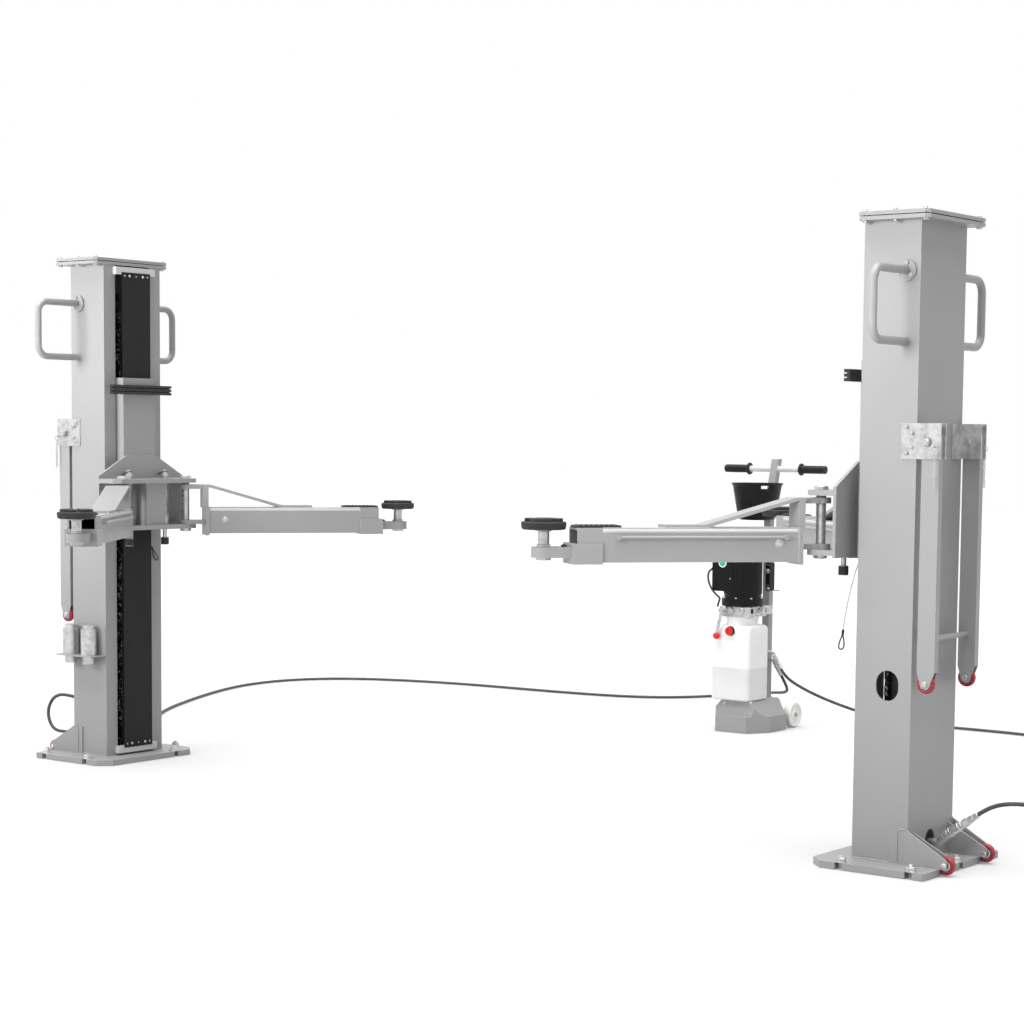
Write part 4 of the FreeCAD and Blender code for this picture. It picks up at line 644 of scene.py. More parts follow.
def hose_cover(name: str = "black_hose_cover", level: float = 0.20, light_level: float = 0.34,
               band: float = 0.009) -> Material:
    """Black hydraulic hose: the print of the cloth wrap winds round it in fine slanted bands.

    A sine of the way along plus the way round gives the slanted bands.
    """
    g = Graph(name)
    uv = g.uv()
    slant = g.math("ADD", g.axis("X", uv), g.math("MULTIPLY", g.axis("Y", uv), 0.45))
    bands = g.math("SINE", g.math("MULTIPLY", slant, 2 * math.pi / band))
    fine = g.math("SINE", g.math("MULTIPLY", g.axis("X", uv), 2 * math.pi / 0.0013))
    dust = g.ranged(g.noise(30, 4), 0.35, 0.75)
    g.set(Base_Color=g.mix(g.ranged(g.math("ADD", g.math("MULTIPLY", bands, 0.3), dust), -0.2, 1.3),
                           grey(level), grey(light_level)),
          Roughness=g.ranged(dust, 0, 1, 0.48, 0.64))
    g.bump(bands, 0.0003, 0.6)
    g.bump(fine, 0.0001, 0.5)
    return g.material


def greased_steel(name: str = "greased_chain_steel") -> Material:
    """Dark greased steel: black grease with bright rubbed spots, as on a lifting chain."""
    g = Graph(name)
    bright = g.ranged(g.noise(85, 3, rough=0.6), 0.52, 0.62)
    g.set(Base_Color=g.mix(bright, grey(0.10), grey(0.62)),
          Metallic=0.8, Roughness=g.ranged(bright, 0, 1, 0.5, 0.28))
    g.bump(g.noise(200, 3), 0.0003)
    return g.material


class Finishes:
    """Every finish of the lift, made once, by the name that the pieces use."""

    def __init__(self) -> None:
        """Builds the materials."""
        self.paint = satin_paint()
        self.zinc = zinc_plate()
        self.steel = zinc_plate("turned_steel", 0.80, 0.64, 0.2)
        self.rubber = moulded_rubber()
        self.cover = woven_cover()
        self.enamel = black_enamel()
        self.black_plastic = moulded_plastic("black_plastic_shell", (0.05, 0.05, 0.055), 0.45, shine=0.2)
        self.grip = moulded_plastic("black_grip_vinyl", (0.11, 0.11, 0.115), 0.5, shine=0.35)
        self.nylon = moulded_plastic("white_nylon", (0.94, 0.94, 0.93), 0.38, 0.97)
        self.red = moulded_plastic("red_knob_plastic", (0.86, 0.10, 0.14), 0.3)
        self.green = moulded_plastic("green_button_plastic", (0.16, 0.72, 0.52), 0.3)
        self.hub = moulded_plastic("slate_hub_plastic", (0.36, 0.38, 0.48), 0.35, 0.8)
        self.tyre = wheel_tyre()
        self.tank = oil_tank_plastic()
        self.hose = hose_cover()
        self.grease = greased_steel()
        # light grey paint of the handlebar, also used as the painted highlight on the arms' round upper
        # corners
        self.bar = satin_paint("light_bar_paint", 0.78, 0.9, 0.28)


# pieces and where they go


def add_piece(name: str, surface: Surface, finish: Material, body: str, slot: str,
              replaces: Sequence[str] = (), smooth: float = SMOOTH_ANGLE) -> bpy.types.Object:
    """Makes a Blender object of a surface and lets it ride on a CAD body.

    Args:
        name: the piece's name.
        surface: its points and faces, in place.
        finish: its material.
        body: the CAD body that carries it.
        slot: the name of a material slot, which is not used.
        replaces: the CAD nodes that it stands for.
        smooth: faces that meet at less than this angle are shaded as one.

    Returns:
        The object.
    """
    mesh = bpy.data.meshes.new(name)
    sides = np.concatenate([np.full(len(surface.quads), 4), [len(cap) for cap in surface.caps]])
    corners = np.concatenate([surface.quads.ravel(), *surface.caps]).astype(np.int32)
    mesh.vertices.add(len(surface.points))
    mesh.vertices.foreach_set("co", surface.points.astype(np.float32).ravel())
    mesh.loops.add(len(corners))
    mesh.loops.foreach_set("vertex_index", corners)
    mesh.polygons.add(len(sides))
    mesh.polygons.foreach_set("loop_start", np.concatenate([[0], np.cumsum(sides)[:-1]]).astype(np.int32))
    mesh.polygons.foreach_set("use_smooth", np.ones(len(sides), bool))
    mesh.update(calc_edges=True)
    if surface.uv is not None:
        flat = np.zeros((len(corners), 2), np.float32)
        flat[:len(surface.uv)] = surface.uv
        mesh.uv_layers.new(name="UVMap").data.foreach_set("uv", flat.ravel())
    mesh.validate()
    mesh.set_sharp_from_angle(angle=smooth)
    mesh.materials.append(finish)
    piece = bpy.data.objects.new(name, mesh)
    bpy.context.scene.collection.objects.link(piece)
    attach(piece, body)
    if replaces:
        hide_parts(*replaces)
    LOG.info("%s: %d points on %s", name, len(surface.points), body)
    return piece


def routed(name: str, points: Sequence[Point]) -> np.ndarray:
    """The smooth line that a cord follows: a NURBS spline with the route's points as control points.

    Args:
        name: a name for the curve, which is removed again.
        points: the route, in millimetres, as the CAD source has it.

    Returns:
        Points of the line, in metres.
    """
    curve = bpy.data.curves.new(name, "CURVE")
    curve.dimensions = "3D"
    spline = curve.splines.new("NURBS")
    spline.points.add(len(points) - 1)
    control = np.column_stack([np.asarray(points, float) / 1000, np.ones(len(points))])
    spline.points.foreach_set("co", control.ravel())
    spline.order_u = 3
    spline.use_endpoint_u = True
    curve.resolution_u = 8
    holder = bpy.data.objects.new(name, curve)
    mesh = bpy.data.meshes.new_from_object(holder)
    line = np.zeros(len(mesh.vertices) * 3)
    mesh.vertices.foreach_get("co", line)
    bpy.data.objects.remove(holder)
    bpy.data.curves.remove(curve)
    bpy.data.meshes.remove(mesh)
    return line.reshape(-1, 3)


def measured(line: np.ndarray) -> float:
    """The length of a line through points."""
    return float(np.linalg.norm(np.diff(line, axis=0), axis=1).sum())


@dataclass(frozen=True)
class PostFrame:
    """The local coordinates of one post: ahead of its column's middle, across, and up."""

    side: Side

    @property
    def name(self) -> str:
        """The post's name, as the CAD nodes begin."""
        return self.side.value

    @property
    def rise(self) -> float:
        """How much higher this post's carriage stands than the left one."""
        return RIGHT_RISE if self.side is Side.RIGHT else 0.0

    def settled(self, surface: Surface, lift: float = 0.0) -> Surface:
        """A surface from local coordinates in its place, mirrored for the right post."""
        if self.side is Side.LEFT:
            return surface.shifted(z=lift)
        return surface.mapped(np.diag([-1.0, 1.0, 1.0]), (POST_SPACING, 0, lift))


@dataclass(frozen=True)
class ColumnFittings:
    """Bolts, rivets, welds and the chain of one column."""

    post: PostFrame
    plate_top: float = 0.020
    anchor_side: float = 0.230
    anchor_front: float = 0.080
    anchor_back: float = -0.150
    anchor_ends: tuple[tuple[float, float], ...] = ((-0.182, -0.006), (0.172, 0.130))
    anchor_size: float = 0.016
    strip_face: float = 0.115
    rivet_sides: tuple[float, ...] = (-0.058, -0.034, 0.0, 0.034, 0.058)
    rivet_radii: tuple[float, ...] = (0.0032, 0.005, 0.003, 0.005, 0.0032)
    rivet_levels: tuple[float, float] = (0.062, 1.860)
    top_bolts: tuple[tuple[float, float], ...] = ((-0.118, -0.172), (0.076, -0.172), (-0.118, 0.172),
                                                  (0.076, 0.172), (-0.021, -0.172), (-0.021, 0.172))
    top_face: float = 1.925
    grab_back: float = -0.048
    grab_top: float = 1.755
    grab_foot_level: float = 1.550
    flange_face: float = 0.1525
    chain_ahead: float = 0.009
    chain_low: float = 0.0215
    chain_high: float = 1.74
    link_pitch: float = 0.0254

    def anchors(self) -> Surface:
        """A washer, a nut and a stud down to the floor at each slot of the base plate."""
        spots = [(ahead, side * self.anchor_side) for ahead in (self.anchor_front, self.anchor_back)
                 for side in SIDES]
        parts = []
        for number, (x, y) in enumerate([*spots, *self.anchor_ends]):
            parts.append(bolt_with_nut((x, y, self.plate_top), UP, self.anchor_size,
                                       0.005 + 0.002 * (number % 3)))
            parts.append(threaded_stud((x, y, 0.0012), UP, self.anchor_size / 2, self.plate_top - 0.001))
        return joined(parts)

    def rivets(self) -> Surface:
        """Domed rivets in a row across each end of the cover band."""
        return joined([domed_bolt((self.strip_face - 0.0004, y, level), (1, 0, 0), radius, radius * 0.7)
                       for level in self.rivet_levels
                       for y, radius in zip(self.rivet_sides, self.rivet_radii)])

    def plate_bolts(self) -> Surface:
        """A domed head on top of the column's head plates and a nut below, at each bolt."""
        parts = []
        for x, y in self.top_bolts:
            parts.append(domed_bolt((x, y, self.top_face - 0.0005), UP, 0.0075, 0.0068))
            parts.append(hex_head((x, y, 1.9005), (0, 0, -1), 0.016, 0.007))
        return joined(parts)

    def handle_bolts(self) -> Surface:
        """Three hexagon bolts round each handle's upper leg, on its flange."""
        angles = np.radians((100, 220, 340))
        return joined([hex_head((self.grab_back + 0.0225 * math.cos(angle),
                                 side * (self.flange_face - 0.0005),
                                 self.grab_top + 0.0225 * math.sin(angle)), (0, side, 0), 0.0125, 0.006)
                       for side in SIDES for angle in angles])

    def handle_welds(self) -> Surface:
        """A ring of weld where each handle's lower leg meets the column."""
        return joined([hoop((self.grab_back, side * 0.1455, self.grab_foot_level), (0.0135, 0, 0),
                            (0, 0, 0.0135), 0.0026) for side in SIDES])

    def foot_welds(self) -> Surface:
        """Weld along the column's foot and up and over each gusset."""
        foot = self.plate_top + 0.001
        seams = ((-0.092, foot, 0.092, foot, 0.1455, 0.0035, UP),
                 (-0.0925, 0.1215, -0.0925, 0.03, 0.1452, 0.003, (1, 0, 0)),
                 (-0.094, 0.1235, -0.062, 0.1235, 0.1485, 0.0038, UP),
                 (-0.062, 0.118, -0.062, 0.028, 0.1515, 0.0024, (1, 0, 0)))
        return joined([weld_bead([(x, side * y, z), (end_x, side * y, end_z)], radius, hint)
                       for side in SIDES for x, z, end_x, end_z, y, radius, hint in seams])

    def link(self, half_width: float, low: float) -> Surface:
        """One chain plate: two half circles a pitch apart, drawn flat and stood on edge along Y."""
        angle = np.linspace(0, math.pi, 7)
        half, radius = self.link_pitch / 2, 0.0062
        upper = np.stack([radius * np.cos(angle), half + radius * np.sin(angle)], -1)
        outline = np.vstack([upper, -upper])
        return slab(outline, half_width, half_width + 0.0021, STAND, (0, 0, low))

    def chain(self) -> Surface:
        """A leaf chain: pairs of plates that overlap by half a pitch, and a pin through each joint."""
        count = int((self.chain_high - self.chain_low) / self.link_pitch) - 1
        one = joined([self.link(width, 0.0) for width in (-0.0085, -0.0021, 0.0042)])
        other = joined([self.link(width, self.link_pitch) for width in (-0.0063, 0.0001, 0.0064)])
        pins = [revolved([(0.0026, -0.0092), (0.0026, 0.0092)],
                         (0, 0, level + self.link_pitch / 2), (0, 1, 0), 8)
                for level in (0.0, self.link_pitch)]
        pair = joined([one, other, *pins])
        starts = self.chain_low + 0.02 + self.link_pitch * 2 * np.arange(count // 2)
        points = pair.points[None] + np.stack([np.zeros_like(starts), np.zeros_like(starts), starts],
                                              -1)[:, None]
        steps = (np.arange(len(starts)) * len(pair.points))[:, None, None]
        caps = [cap + step for step in steps[:, 0, 0] for cap in pair.caps]
        chain = Surface(points.reshape(-1, 3), (pair.quads[None] + steps).reshape(-1, 4), caps)
        anchor = slab(rounded_box(0.03, 0.034, 0.004), 0, 0.012).shifted(z=self.chain_low - 0.0015)
        stud = threaded_stud((0, 0, self.chain_low + 0.009), UP, 0.007, 0.03)
        return joined([chain, anchor, stud]).shifted(x=self.chain_ahead)

    def guard(self) -> Surface:
        """The flat black guard strip inside the column, beside the carriage's way."""
        outline = [(-0.026, -0.0915), (0.017, -0.0915), (0.017, -0.0895), (-0.026, -0.0895)]
        return slab(outline, 0.021, 1.72)

    def dress(self, finishes: Finishes) -> None:
        """Makes the pieces."""
        name = self.post.name
        second = self.chain().shifted(-0.003, -0.105)
        for label, surface, finish, slot in (
                ("anchor_bolts", self.anchors(), finishes.zinc, "zinc"),
                ("cover_rivets", self.rivets(), finishes.zinc, "zinc"),
                ("head_plate_bolts", self.plate_bolts(), finishes.steel, "zinc"),
                ("handle_bolts", self.handle_bolts(), finishes.zinc, "zinc"),
                ("handle_welds", self.handle_welds(), finishes.paint, "grey_paint"),
                ("foot_welds", self.foot_welds(), finishes.paint, "grey_paint"),
                ("lifting_chains", joined([self.chain(), second]), finishes.grease, "zinc"),
                ("chain_guard", self.guard(), finishes.rubber, "black_rubber")):
            add_piece(f"{name}_{label}", self.post.settled(surface), finish, "posts", slot)


@dataclass(frozen=True)
class CasterPair:
    """Two small wheels of one axle line: a red tyre, a slate hub and a zinc axle bolt."""

    body: str
    ahead: float
    level: float
    middle: float
    width: float
    bolt_inner: float
    bolt_outer: float
    radius: float = 0.028

    def turned(self, profile: Sequence[Point], side: int, steps: int) -> Surface:
        """A closed profile turned about the axle, at one of the two wheels."""
        return revolved(profile, (self.ahead, side * self.middle, self.level), (0, 1, 0), steps, loop=True)

    def tyre(self, side: int) -> Surface:
        """A ring whose tread is crowned: its radius falls as the fourth power of the way off middle."""
        across = np.linspace(-1, 1, 13)
        tread = self.radius - 0.0028 * across ** 4 - 0.0006 * across ** 2
        outside = np.column_stack([tread, across * self.width / 2])
        inside = np.array([[0.0185, self.width / 2 - 0.0012], [0.0185, -self.width / 2 + 0.0012]])
        return self.turned(np.vstack([outside, inside]), side, 48)

    def hub(self, side: int) -> Surface:
        """A hub with a raised rim, a sunk web and a raised boss, closed round the axle's hole."""
        half = self.width / 2
        face = [(0.0184, -half + 0.001), (0.0184, half - 0.001), (0.0165, half - 0.0004),
                (0.0155, half - 0.003), (0.0115, half - 0.003), (0.0105, half - 0.0002),
                (0.0064, half - 0.0002), (0.0064, -half + 0.0002), (0.0105, -half + 0.0002),
                (0.0115, -half + 0.003), (0.0155, -half + 0.003), (0.0165, -half + 0.0004)]
        return self.turned(face, side, 36)

    def ring(self, side: int) -> Surface:
        """The pale bearing ring that stands a little off both faces of the hub."""
        half = self.width / 2 - 0.0022
        return self.turned([(0.0118, -half), (0.0152, -half), (0.0152, half), (0.0118, half)], side, 32)

    def bolts(self, side: int) -> Surface:
        """A domed head on the outer cheek and a nut on the inner one."""
        way = np.array([0.0, float(side), 0.0])
        foot = np.array([self.ahead, 0.0, self.level])
        head = domed_bolt(foot + way * (self.bolt_outer - 0.0004), way, 0.0098, 0.006)
        nut = hex_head(foot + way * (self.bolt_inner + 0.0004), -way, 0.017, 0.007)
        return joined([head, nut])

    def dress(self, post: PostFrame, finishes: Finishes, carrier: str) -> None:
        """Makes the tyres, the hubs and the axle bolts, which stay on the carrier."""
        for label, make, finish, body, slot, stood_for in (
                ("rings", self.ring, finishes.nylon, self.body, "nylon", ()),
                ("tyres", self.tyre, finishes.tyre, self.body, "red_wheels", (self.body,)),
                ("hubs", self.hub, finishes.hub, self.body, "red_wheels", ()),
                ("bolts", self.bolts, finishes.zinc, carrier, "zinc", ())):
            pair = joined([make(side) for side in SIDES])
            add_piece(f"{self.body}_{label}", post.settled(pair), finish, body, slot, stood_for)


@dataclass(frozen=True)
class LegFittings:
    """Bolts, latch pins and their chains on the brackets of one pair of transport legs."""

    post: PostFrame
    outer_face: float = 0.156
    bolts: tuple[tuple[float, float], ...] = ((-0.062, 1.302), (-0.079, 1.285), (-0.078, 1.243),
                                              (-0.063, 1.227))
    latch: tuple[float, float] = (-0.155, 1.248)
    pivot: tuple[float, float] = (-0.128, 1.260)

    def bracket_bolts(self) -> Surface:
        """Small round heads on the outer plates, and the pivot's larger one."""
        parts = []
        for side in SIDES:
            way = (0, side, 0)
            parts += [domed_bolt((x, side * (self.outer_face - 0.0004), z), way, 0.0052, 0.003)
                      for x, z in self.bolts]
            parts.append(hex_head((self.pivot[0], side * (self.outer_face - 0.0004), self.pivot[1]),
                                  way, 0.019, 0.008))
            parts.append(washer((self.pivot[0], side * (self.outer_face - 0.0004), self.pivot[1]),
                                way, 0.0125, 0.002))
        return joined(parts)

    def latch_pins(self) -> Surface:
        """A pin through the bracket with a ring at its head."""
        parts = []
        for side in SIDES:
            x, z = self.latch
            parts.append(revolved([(0.0038, 0), (0.0038, 0.007), (0.0026, 0.011)],
                                  (x, side * (self.outer_face - 0.0006), z), (0, side, 0), 16))
            parts.append(hoop((x - 0.004, side * (self.outer_face + 0.0072), z - 0.006),
                              (0.0085, 0, 0), (0, 0, 0.0085), 0.0011, 28))
        return joined(parts)

    def chains(self) -> Surface:
        """A short chain of round links that hangs from each latch pin, every other link on edge."""
        link = hoop((0, 0, 0), (0.0032, 0, 0), (0, 0, 0.0052), 0.0010, 20, 6)
        return joined([link.turned(90 if number % 2 else 12).shifted(
            self.latch[0] - 0.004 + 0.0005 * math.sin(number), side * (self.outer_face + 0.0068),
            self.latch[1] - 0.019 - 0.0082 * number) for side in SIDES for number in range(13)])

    def dress(self, finishes: Finishes) -> None:
        """Makes the pieces."""
        for label, surface, finish in (("bracket_bolts", self.bracket_bolts(), finishes.steel),
                                       ("latch_pins", self.latch_pins(), finishes.steel),
                                       ("latch_chains", self.chains(), finishes.zinc)):
            add_piece(f"{self.post.name}_{label}", self.post.settled(surface), finish, "posts", "zinc")


@dataclass(frozen=True)
class CarriageFittings:
    """Springs, pin heads and welds of one carriage."""

    post: PostFrame
    lock_ahead: float = 0.169
    lock_side: float = 0.093
    spring_low: float = 0.9485
    spring_high: float = 1.0725
    spring_radius: float = 0.0118
    spring_wire: float = 0.0025
    spring_turns: float = 12.0
    lock_travel: float = 0.034

    def spring(self, row: Row) -> Surface:
        """The spring between a lock pin's collar and the upper jaw."""
        base = (self.lock_ahead, row.value * self.lock_side, self.spring_low)
        return coil(base, self.spring_radius, self.spring_wire, self.spring_high - self.spring_low,
                    self.spring_turns)

    def pivot_sleeves(self) -> Surface:
        """Bright sleeves on the pivot pins: the caps above and below the jaws, a circlip, the bare pin."""
        spans = ((0.0152, 0.929, 1.048), (0.0214, 1.0888, 1.0995), (0.0166, 1.0985, 1.1010),
                 (0.0214, 0.8855, 0.8962))
        return joined([revolved([(radius - 0.0008, low), (radius, low + 0.0008), (radius, high - 0.0008),
                                 (radius - 0.0012, high)],
                                (PIVOT_AHEAD, side * PIVOT_SIDE, 0), UP, 36)
                       for side in SIDES for radius, low, high in spans])

    def pin_foot(self, row: Row) -> Surface:
        """The black sleeve on a lock pin's foot."""
        return revolved([(0.0138, 0.8329), (0.0153, 0.8345), (0.0153, 0.8600), (0.0140, 0.8616)],
                        (self.lock_ahead, row.value * self.lock_side, 0), UP, 32)

    def pin_loop(self, row: Row) -> Surface:
        """The black wire loop at a lock pin's head: an oval that leans off the pin."""
        return hoop((self.lock_ahead - 0.010, row.value * self.lock_side, 1.1115),
                    (0.021, 0, 0.006), (0, 0.013, 0), 0.0016, 36)

    def wire_route(self) -> tuple[Point, ...]:
        """The release wire's points, in millimetres: it hangs below the lower jaw."""
        if self.post.side is Side.LEFT:
            return ((112, 52, 905), (108, 58, 888), (102, 68, 862), (99, 80, 838), (100, 90, 818))
        return ((3333, -100, 917), (3324, -100, 896), (3309, -100, 850), (3294, -100, 790),
                (3281, -100, 725), (3278, -100, 692))

    def wire_end(self, line: np.ndarray) -> Surface:
        """The black loop at the wire's end: a drop whose width is the sine of the way round."""
        angle = np.linspace(0, 2 * math.pi, 40, endpoint=False)
        along = unit(line[-1] - line[-4])
        down = 0.0235 * (1 - np.cos(angle)) + 0.008
        wide = 0.0115 * np.sin(angle) * (0.55 - 0.45 * np.cos(angle))
        drop = line[-1] + down[:, None] * along + wide[:, None] * np.array([0.8, 0.6, 0.0])
        sleeve = revolved([(0.0022, 0), (0.0038, 0.0015), (0.0038, 0.0165), (0.0022, 0.018)],
                          line[-1] - along * 0.006, along, 16)
        return joined([sleeve, swept(drop, circle(0.0021, 8), Lay.CLOSED, (-0.6, 0.8, 0))])

    def release_wire(self, finishes: Finishes, body: str) -> None:
        """The thin wire with its loop that frees the locks by hand."""
        name = f"{self.post.name}_release_wire"
        line = routed(f"{name}_line", self.wire_route())
        wire = add_piece(name, tube_along(line, 0.0015, 10), finishes.steel, body, "zinc")
        loop = add_piece(f"{name}_loop", self.wire_end(line), finishes.rubber, body, "black_rubber")
        LOG.info("%s is %.2f m long", name, measured(line))

    def welds(self) -> Surface:
        """Weld along the mount plate's sloping shoulders and along the jaws."""
        face = 0.140
        seams = []
        for side in SIDES:
            seams.append(weld_bead([(0.1292, side * 0.081, 1.1755), (0.1292, side * 0.081, 0.892)],
                                   0.003, (1, 0, 0)))
            for level in (1.0895, 0.9125):
                seams.append(weld_bead([(face, side * 0.06, level), (face, side * 0.214, level)],
                                       0.0028))
        seams.append(weld_bead([(0.1292, -0.08, 1.1755), (0.1292, 0.08, 1.1755)], 0.003))
        return joined(seams)

    def dress(self, finishes: Finishes) -> None:
        """Makes the pieces. Each spring gets a mesh of its own."""
        name = self.post.name
        body = f"{name}_carriage"
        for row in Row:
            label = row.name.lower()
            spring = add_piece(f"{name}_{label}_lock_spring",
                               self.post.settled(self.spring(row), self.post.rise), finishes.zinc,
                               body, "zinc")
            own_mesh(spring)
            for part, surface in (("foot", self.pin_foot(row)), ("loop", self.pin_loop(row))):
                add_piece(f"{name}_{label}_lock_{part}", self.post.settled(surface, self.post.rise),
                          finishes.rubber, f"{name}_{label}_lock_pin", "black_rubber")
        add_piece(f"{name}_pivot_sleeves", self.post.settled(self.pivot_sleeves(), self.post.rise),
                  finishes.steel, body, "zinc")
        add_piece(f"{name}_carriage_welds", self.post.settled(self.welds(), self.post.rise),
                  finishes.paint, body, "grey_paint")
        self.release_wire(finishes, body)


@dataclass(frozen=True)
class ArmFittings:
    """What is on one arm: the rubber strip, bolts, welds, the lifting pad and its screw."""

    side: Side
    row: Row
    degrees: float
    arm_top: float = 0.977
    strip_span: tuple[float, float] = (0.623, 0.762)
    strip_half: float = 0.030
    strip_height: float = 0.009
    half_width: float = 0.050
    root_end: float = 0.084
    bolt_reach: float = 0.147
    bolt_level: float = 0.931
    pad_reach: float = 0.849
    pad_low: float = 0.971
    pad_thick: float = 0.033
    pad_radius: float = 0.066
    bar_low: float = 0.890
    bar_high: float = 0.921
    nut_thick: float = 0.0075
    nut_across: float = 0.039

    @property
    def name(self) -> str:
        """The arm's name, as the CAD nodes begin."""
        return f"{self.side.value}_{self.row.name.lower()}"

    def settled(self, surface: Surface) -> Surface:
        """A surface drawn from the pivot along +X, turned and moved to this arm's place."""
        post = PostFrame(self.side)
        x = PIVOT_AHEAD if self.side is Side.LEFT else POST_SPACING - PIVOT_AHEAD
        return surface.turned(self.degrees).shifted(x, self.row.value * PIVOT_SIDE, post.rise)

    def rubber_strip(self) -> Surface:
        """A ribbed strip: its top is the height times a flat-topped wave along the arm."""
        start, end = self.strip_span
        u = np.linspace(0, 1, 73)
        wave = 0.5 + 0.5 * np.tanh(3 * np.cos(u * 2 * math.pi * 9))
        ends = np.clip(np.minimum(u, 1 - u) / 0.03, 0, 1)
        height = (self.strip_height - 0.002 * (1 - wave)) * (0.6 + 0.4 * ends)
        half = self.strip_half - 0.0015
        x = start + (end - start) * u
        low = np.full_like(u, self.arm_top - 0.0005)
        top = self.arm_top + height
        rows = [(-half, low), (half, low), (half + 0.0012, (low + top) / 2), (half, top - 0.001),
                (half - 0.0025, top), (-half + 0.0025, top), (-half, top - 0.001),
                (-half - 0.0012, (low + top) / 2)]
        rings = np.stack([np.stack([x, np.full_like(u, y), z], -1) for y, z in rows], 1)
        return from_rings(rings)

    def painted_highlight_edges(self) -> Surface:
        """The tube's round upper corners, from its root plate to its end, which carry a painted highlight
        in the lighter bar paint.
        """
        parts = []
        for side in SIDES:
            y, z = side * (self.half_width - 0.0072), self.arm_top - 0.0078
            path = np.array([[0.0885, y, z], [0.685, y, z]])
            parts.append(swept(path, circle(0.0088, 28)))
        return joined(parts)

    def bolts(self) -> Surface:
        """Domed bolts on round washers on both sides of the tube."""
        parts = []
        for side in SIDES:
            spot = (self.bolt_reach, side * (self.half_width - 0.0004), self.bolt_level)
            parts.append(washer(spot, (0, side, 0), 0.0125, 0.0018))
            parts.append(domed_bolt((spot[0], side * (self.half_width + 0.001), spot[2]),
                                    (0, side, 0), 0.0085, 0.005))
        return joined(parts)

    def welds(self) -> Surface:
        """Weld round the tube at its root plate and round the sleeve at the tube's end."""
        loops = []
        half = self.half_width + 0.0005
        for reach, low, high, radius, over in ((self.root_end + 0.0008, 0.8768, 0.9772, 0.0035, True),
                                               (0.6862, 0.8765, 0.9325, 0.0026, False)):
            path = [(reach, half, high), (reach, half, low), (reach, -half, low), (reach, -half, high)]
            loops.append(weld_bead(path + path[:1] if over else path, radius, (1, 0, 0)))
        loops.append(weld_bead([(0.0705, -0.042, 1.048), (0.0705, 0.042, 1.048)], 0.003))
        loops.append(weld_bead([(0.374, -0.042, 0.9785), (0.374, 0.042, 0.9785)], 0.003))
        return joined(loops)

    def pad_rubber(self) -> Surface:
        """The pad's rubber: a disc with a full rim, and four raised blocks parted by a cross groove.

        A block is a quarter of a smaller disc less the groove: a corner and an arc about the middle.
        """
        low = self.pad_low
        edge = self.pad_radius
        disc = revolved([(0.0165, low), (edge - 0.006, low), (edge - 0.002, low + 0.003),
                         (edge - 0.0005, low + 0.011), (edge, low + 0.018), (edge - 0.0005, low + 0.021),
                         (edge - 0.003, low + 0.0232), (edge - 0.012, low + 0.0235)], (0, 0, 0), UP, 64)
        reach, gap = edge - 0.010, 0.0075
        angle = np.linspace(math.asin(gap / reach), math.acos(gap / reach), 17)
        quarter = np.vstack([[gap, gap], reach * np.stack([np.cos(angle), np.sin(angle)], -1)])
        block = slab(quarter, low + 0.023, low + self.pad_thick, bevel=0.0012)
        blocks = [block.turned(20 + 90 * number) for number in range(4)]
        return joined([disc, *blocks]).shifted(x=self.pad_reach)

    def pad_screw(self) -> Surface:
        """The pad's smooth stem, a cup under the rubber, and a nut on each face of the arm's eye."""
        spot = (self.pad_reach, 0, 0)
        top = self.bar_high + 0.0003
        parts = [revolved([(0.0150, top), (0.0168, top + 0.001), (0.0168, self.pad_low - 0.002),
                           (0.0150, self.pad_low + 0.0005)], spot, UP, 36)]
        parts.append(hex_head((spot[0], 0, top), UP, self.nut_across, self.nut_thick, 0.2))
        parts.append(hex_head((spot[0], 0, self.bar_low - 0.0003), (0, 0, -1), self.nut_across,
                              self.nut_thick, 0.5))
        parts.append(revolved([(0.0205, 0), (0.0260, 0.0035), (0.0260, 0.0060)],
                              (spot[0], 0, self.pad_low - 0.0055), UP, 32))
        return joined(parts)

    def stop_screw(self) -> Surface:
        """The small black stop screw on the bar, just short of the pad."""
        return domed_bolt((self.pad_reach - 0.060, 0, self.bar_high - 0.0004), UP, 0.0085, 0.008)

    def dress(self, finishes: Finishes) -> None:
        """Makes the pieces."""
        arm, pad = f"{self.name}_arm", f"{self.name}_pad"
        add_piece(f"{arm}_rubber_strip", self.settled(self.rubber_strip()), finishes.rubber, arm,
                  "black_rubber")
        if self.name != "left_near":
            add_piece(f"{arm}_bolts", self.settled(self.bolts()), finishes.zinc, arm, "zinc")
        # painted highlight: the round upper corners take the lighter bar paint where the tube's top catches
        # the light
        add_piece(f"{arm}_round_edges", self.settled(self.painted_highlight_edges()), finishes.bar, arm,
                  "grey_paint")
        bar = f"{self.name}_inner_arm"
        add_piece(f"{bar}_stop_screw", self.settled(self.stop_screw()), finishes.rubber, bar,
                  "black_rubber")
        add_piece(f"{arm}_welds", self.settled(self.welds()), finishes.paint, arm, "grey_paint")
        add_piece(f"{pad}_rubber", self.settled(self.pad_rubber()), finishes.rubber, pad,
                  "black_rubber", (pad,))
        add_piece(f"{pad}_screw", self.settled(self.pad_screw()), finishes.zinc, pad, "zinc")


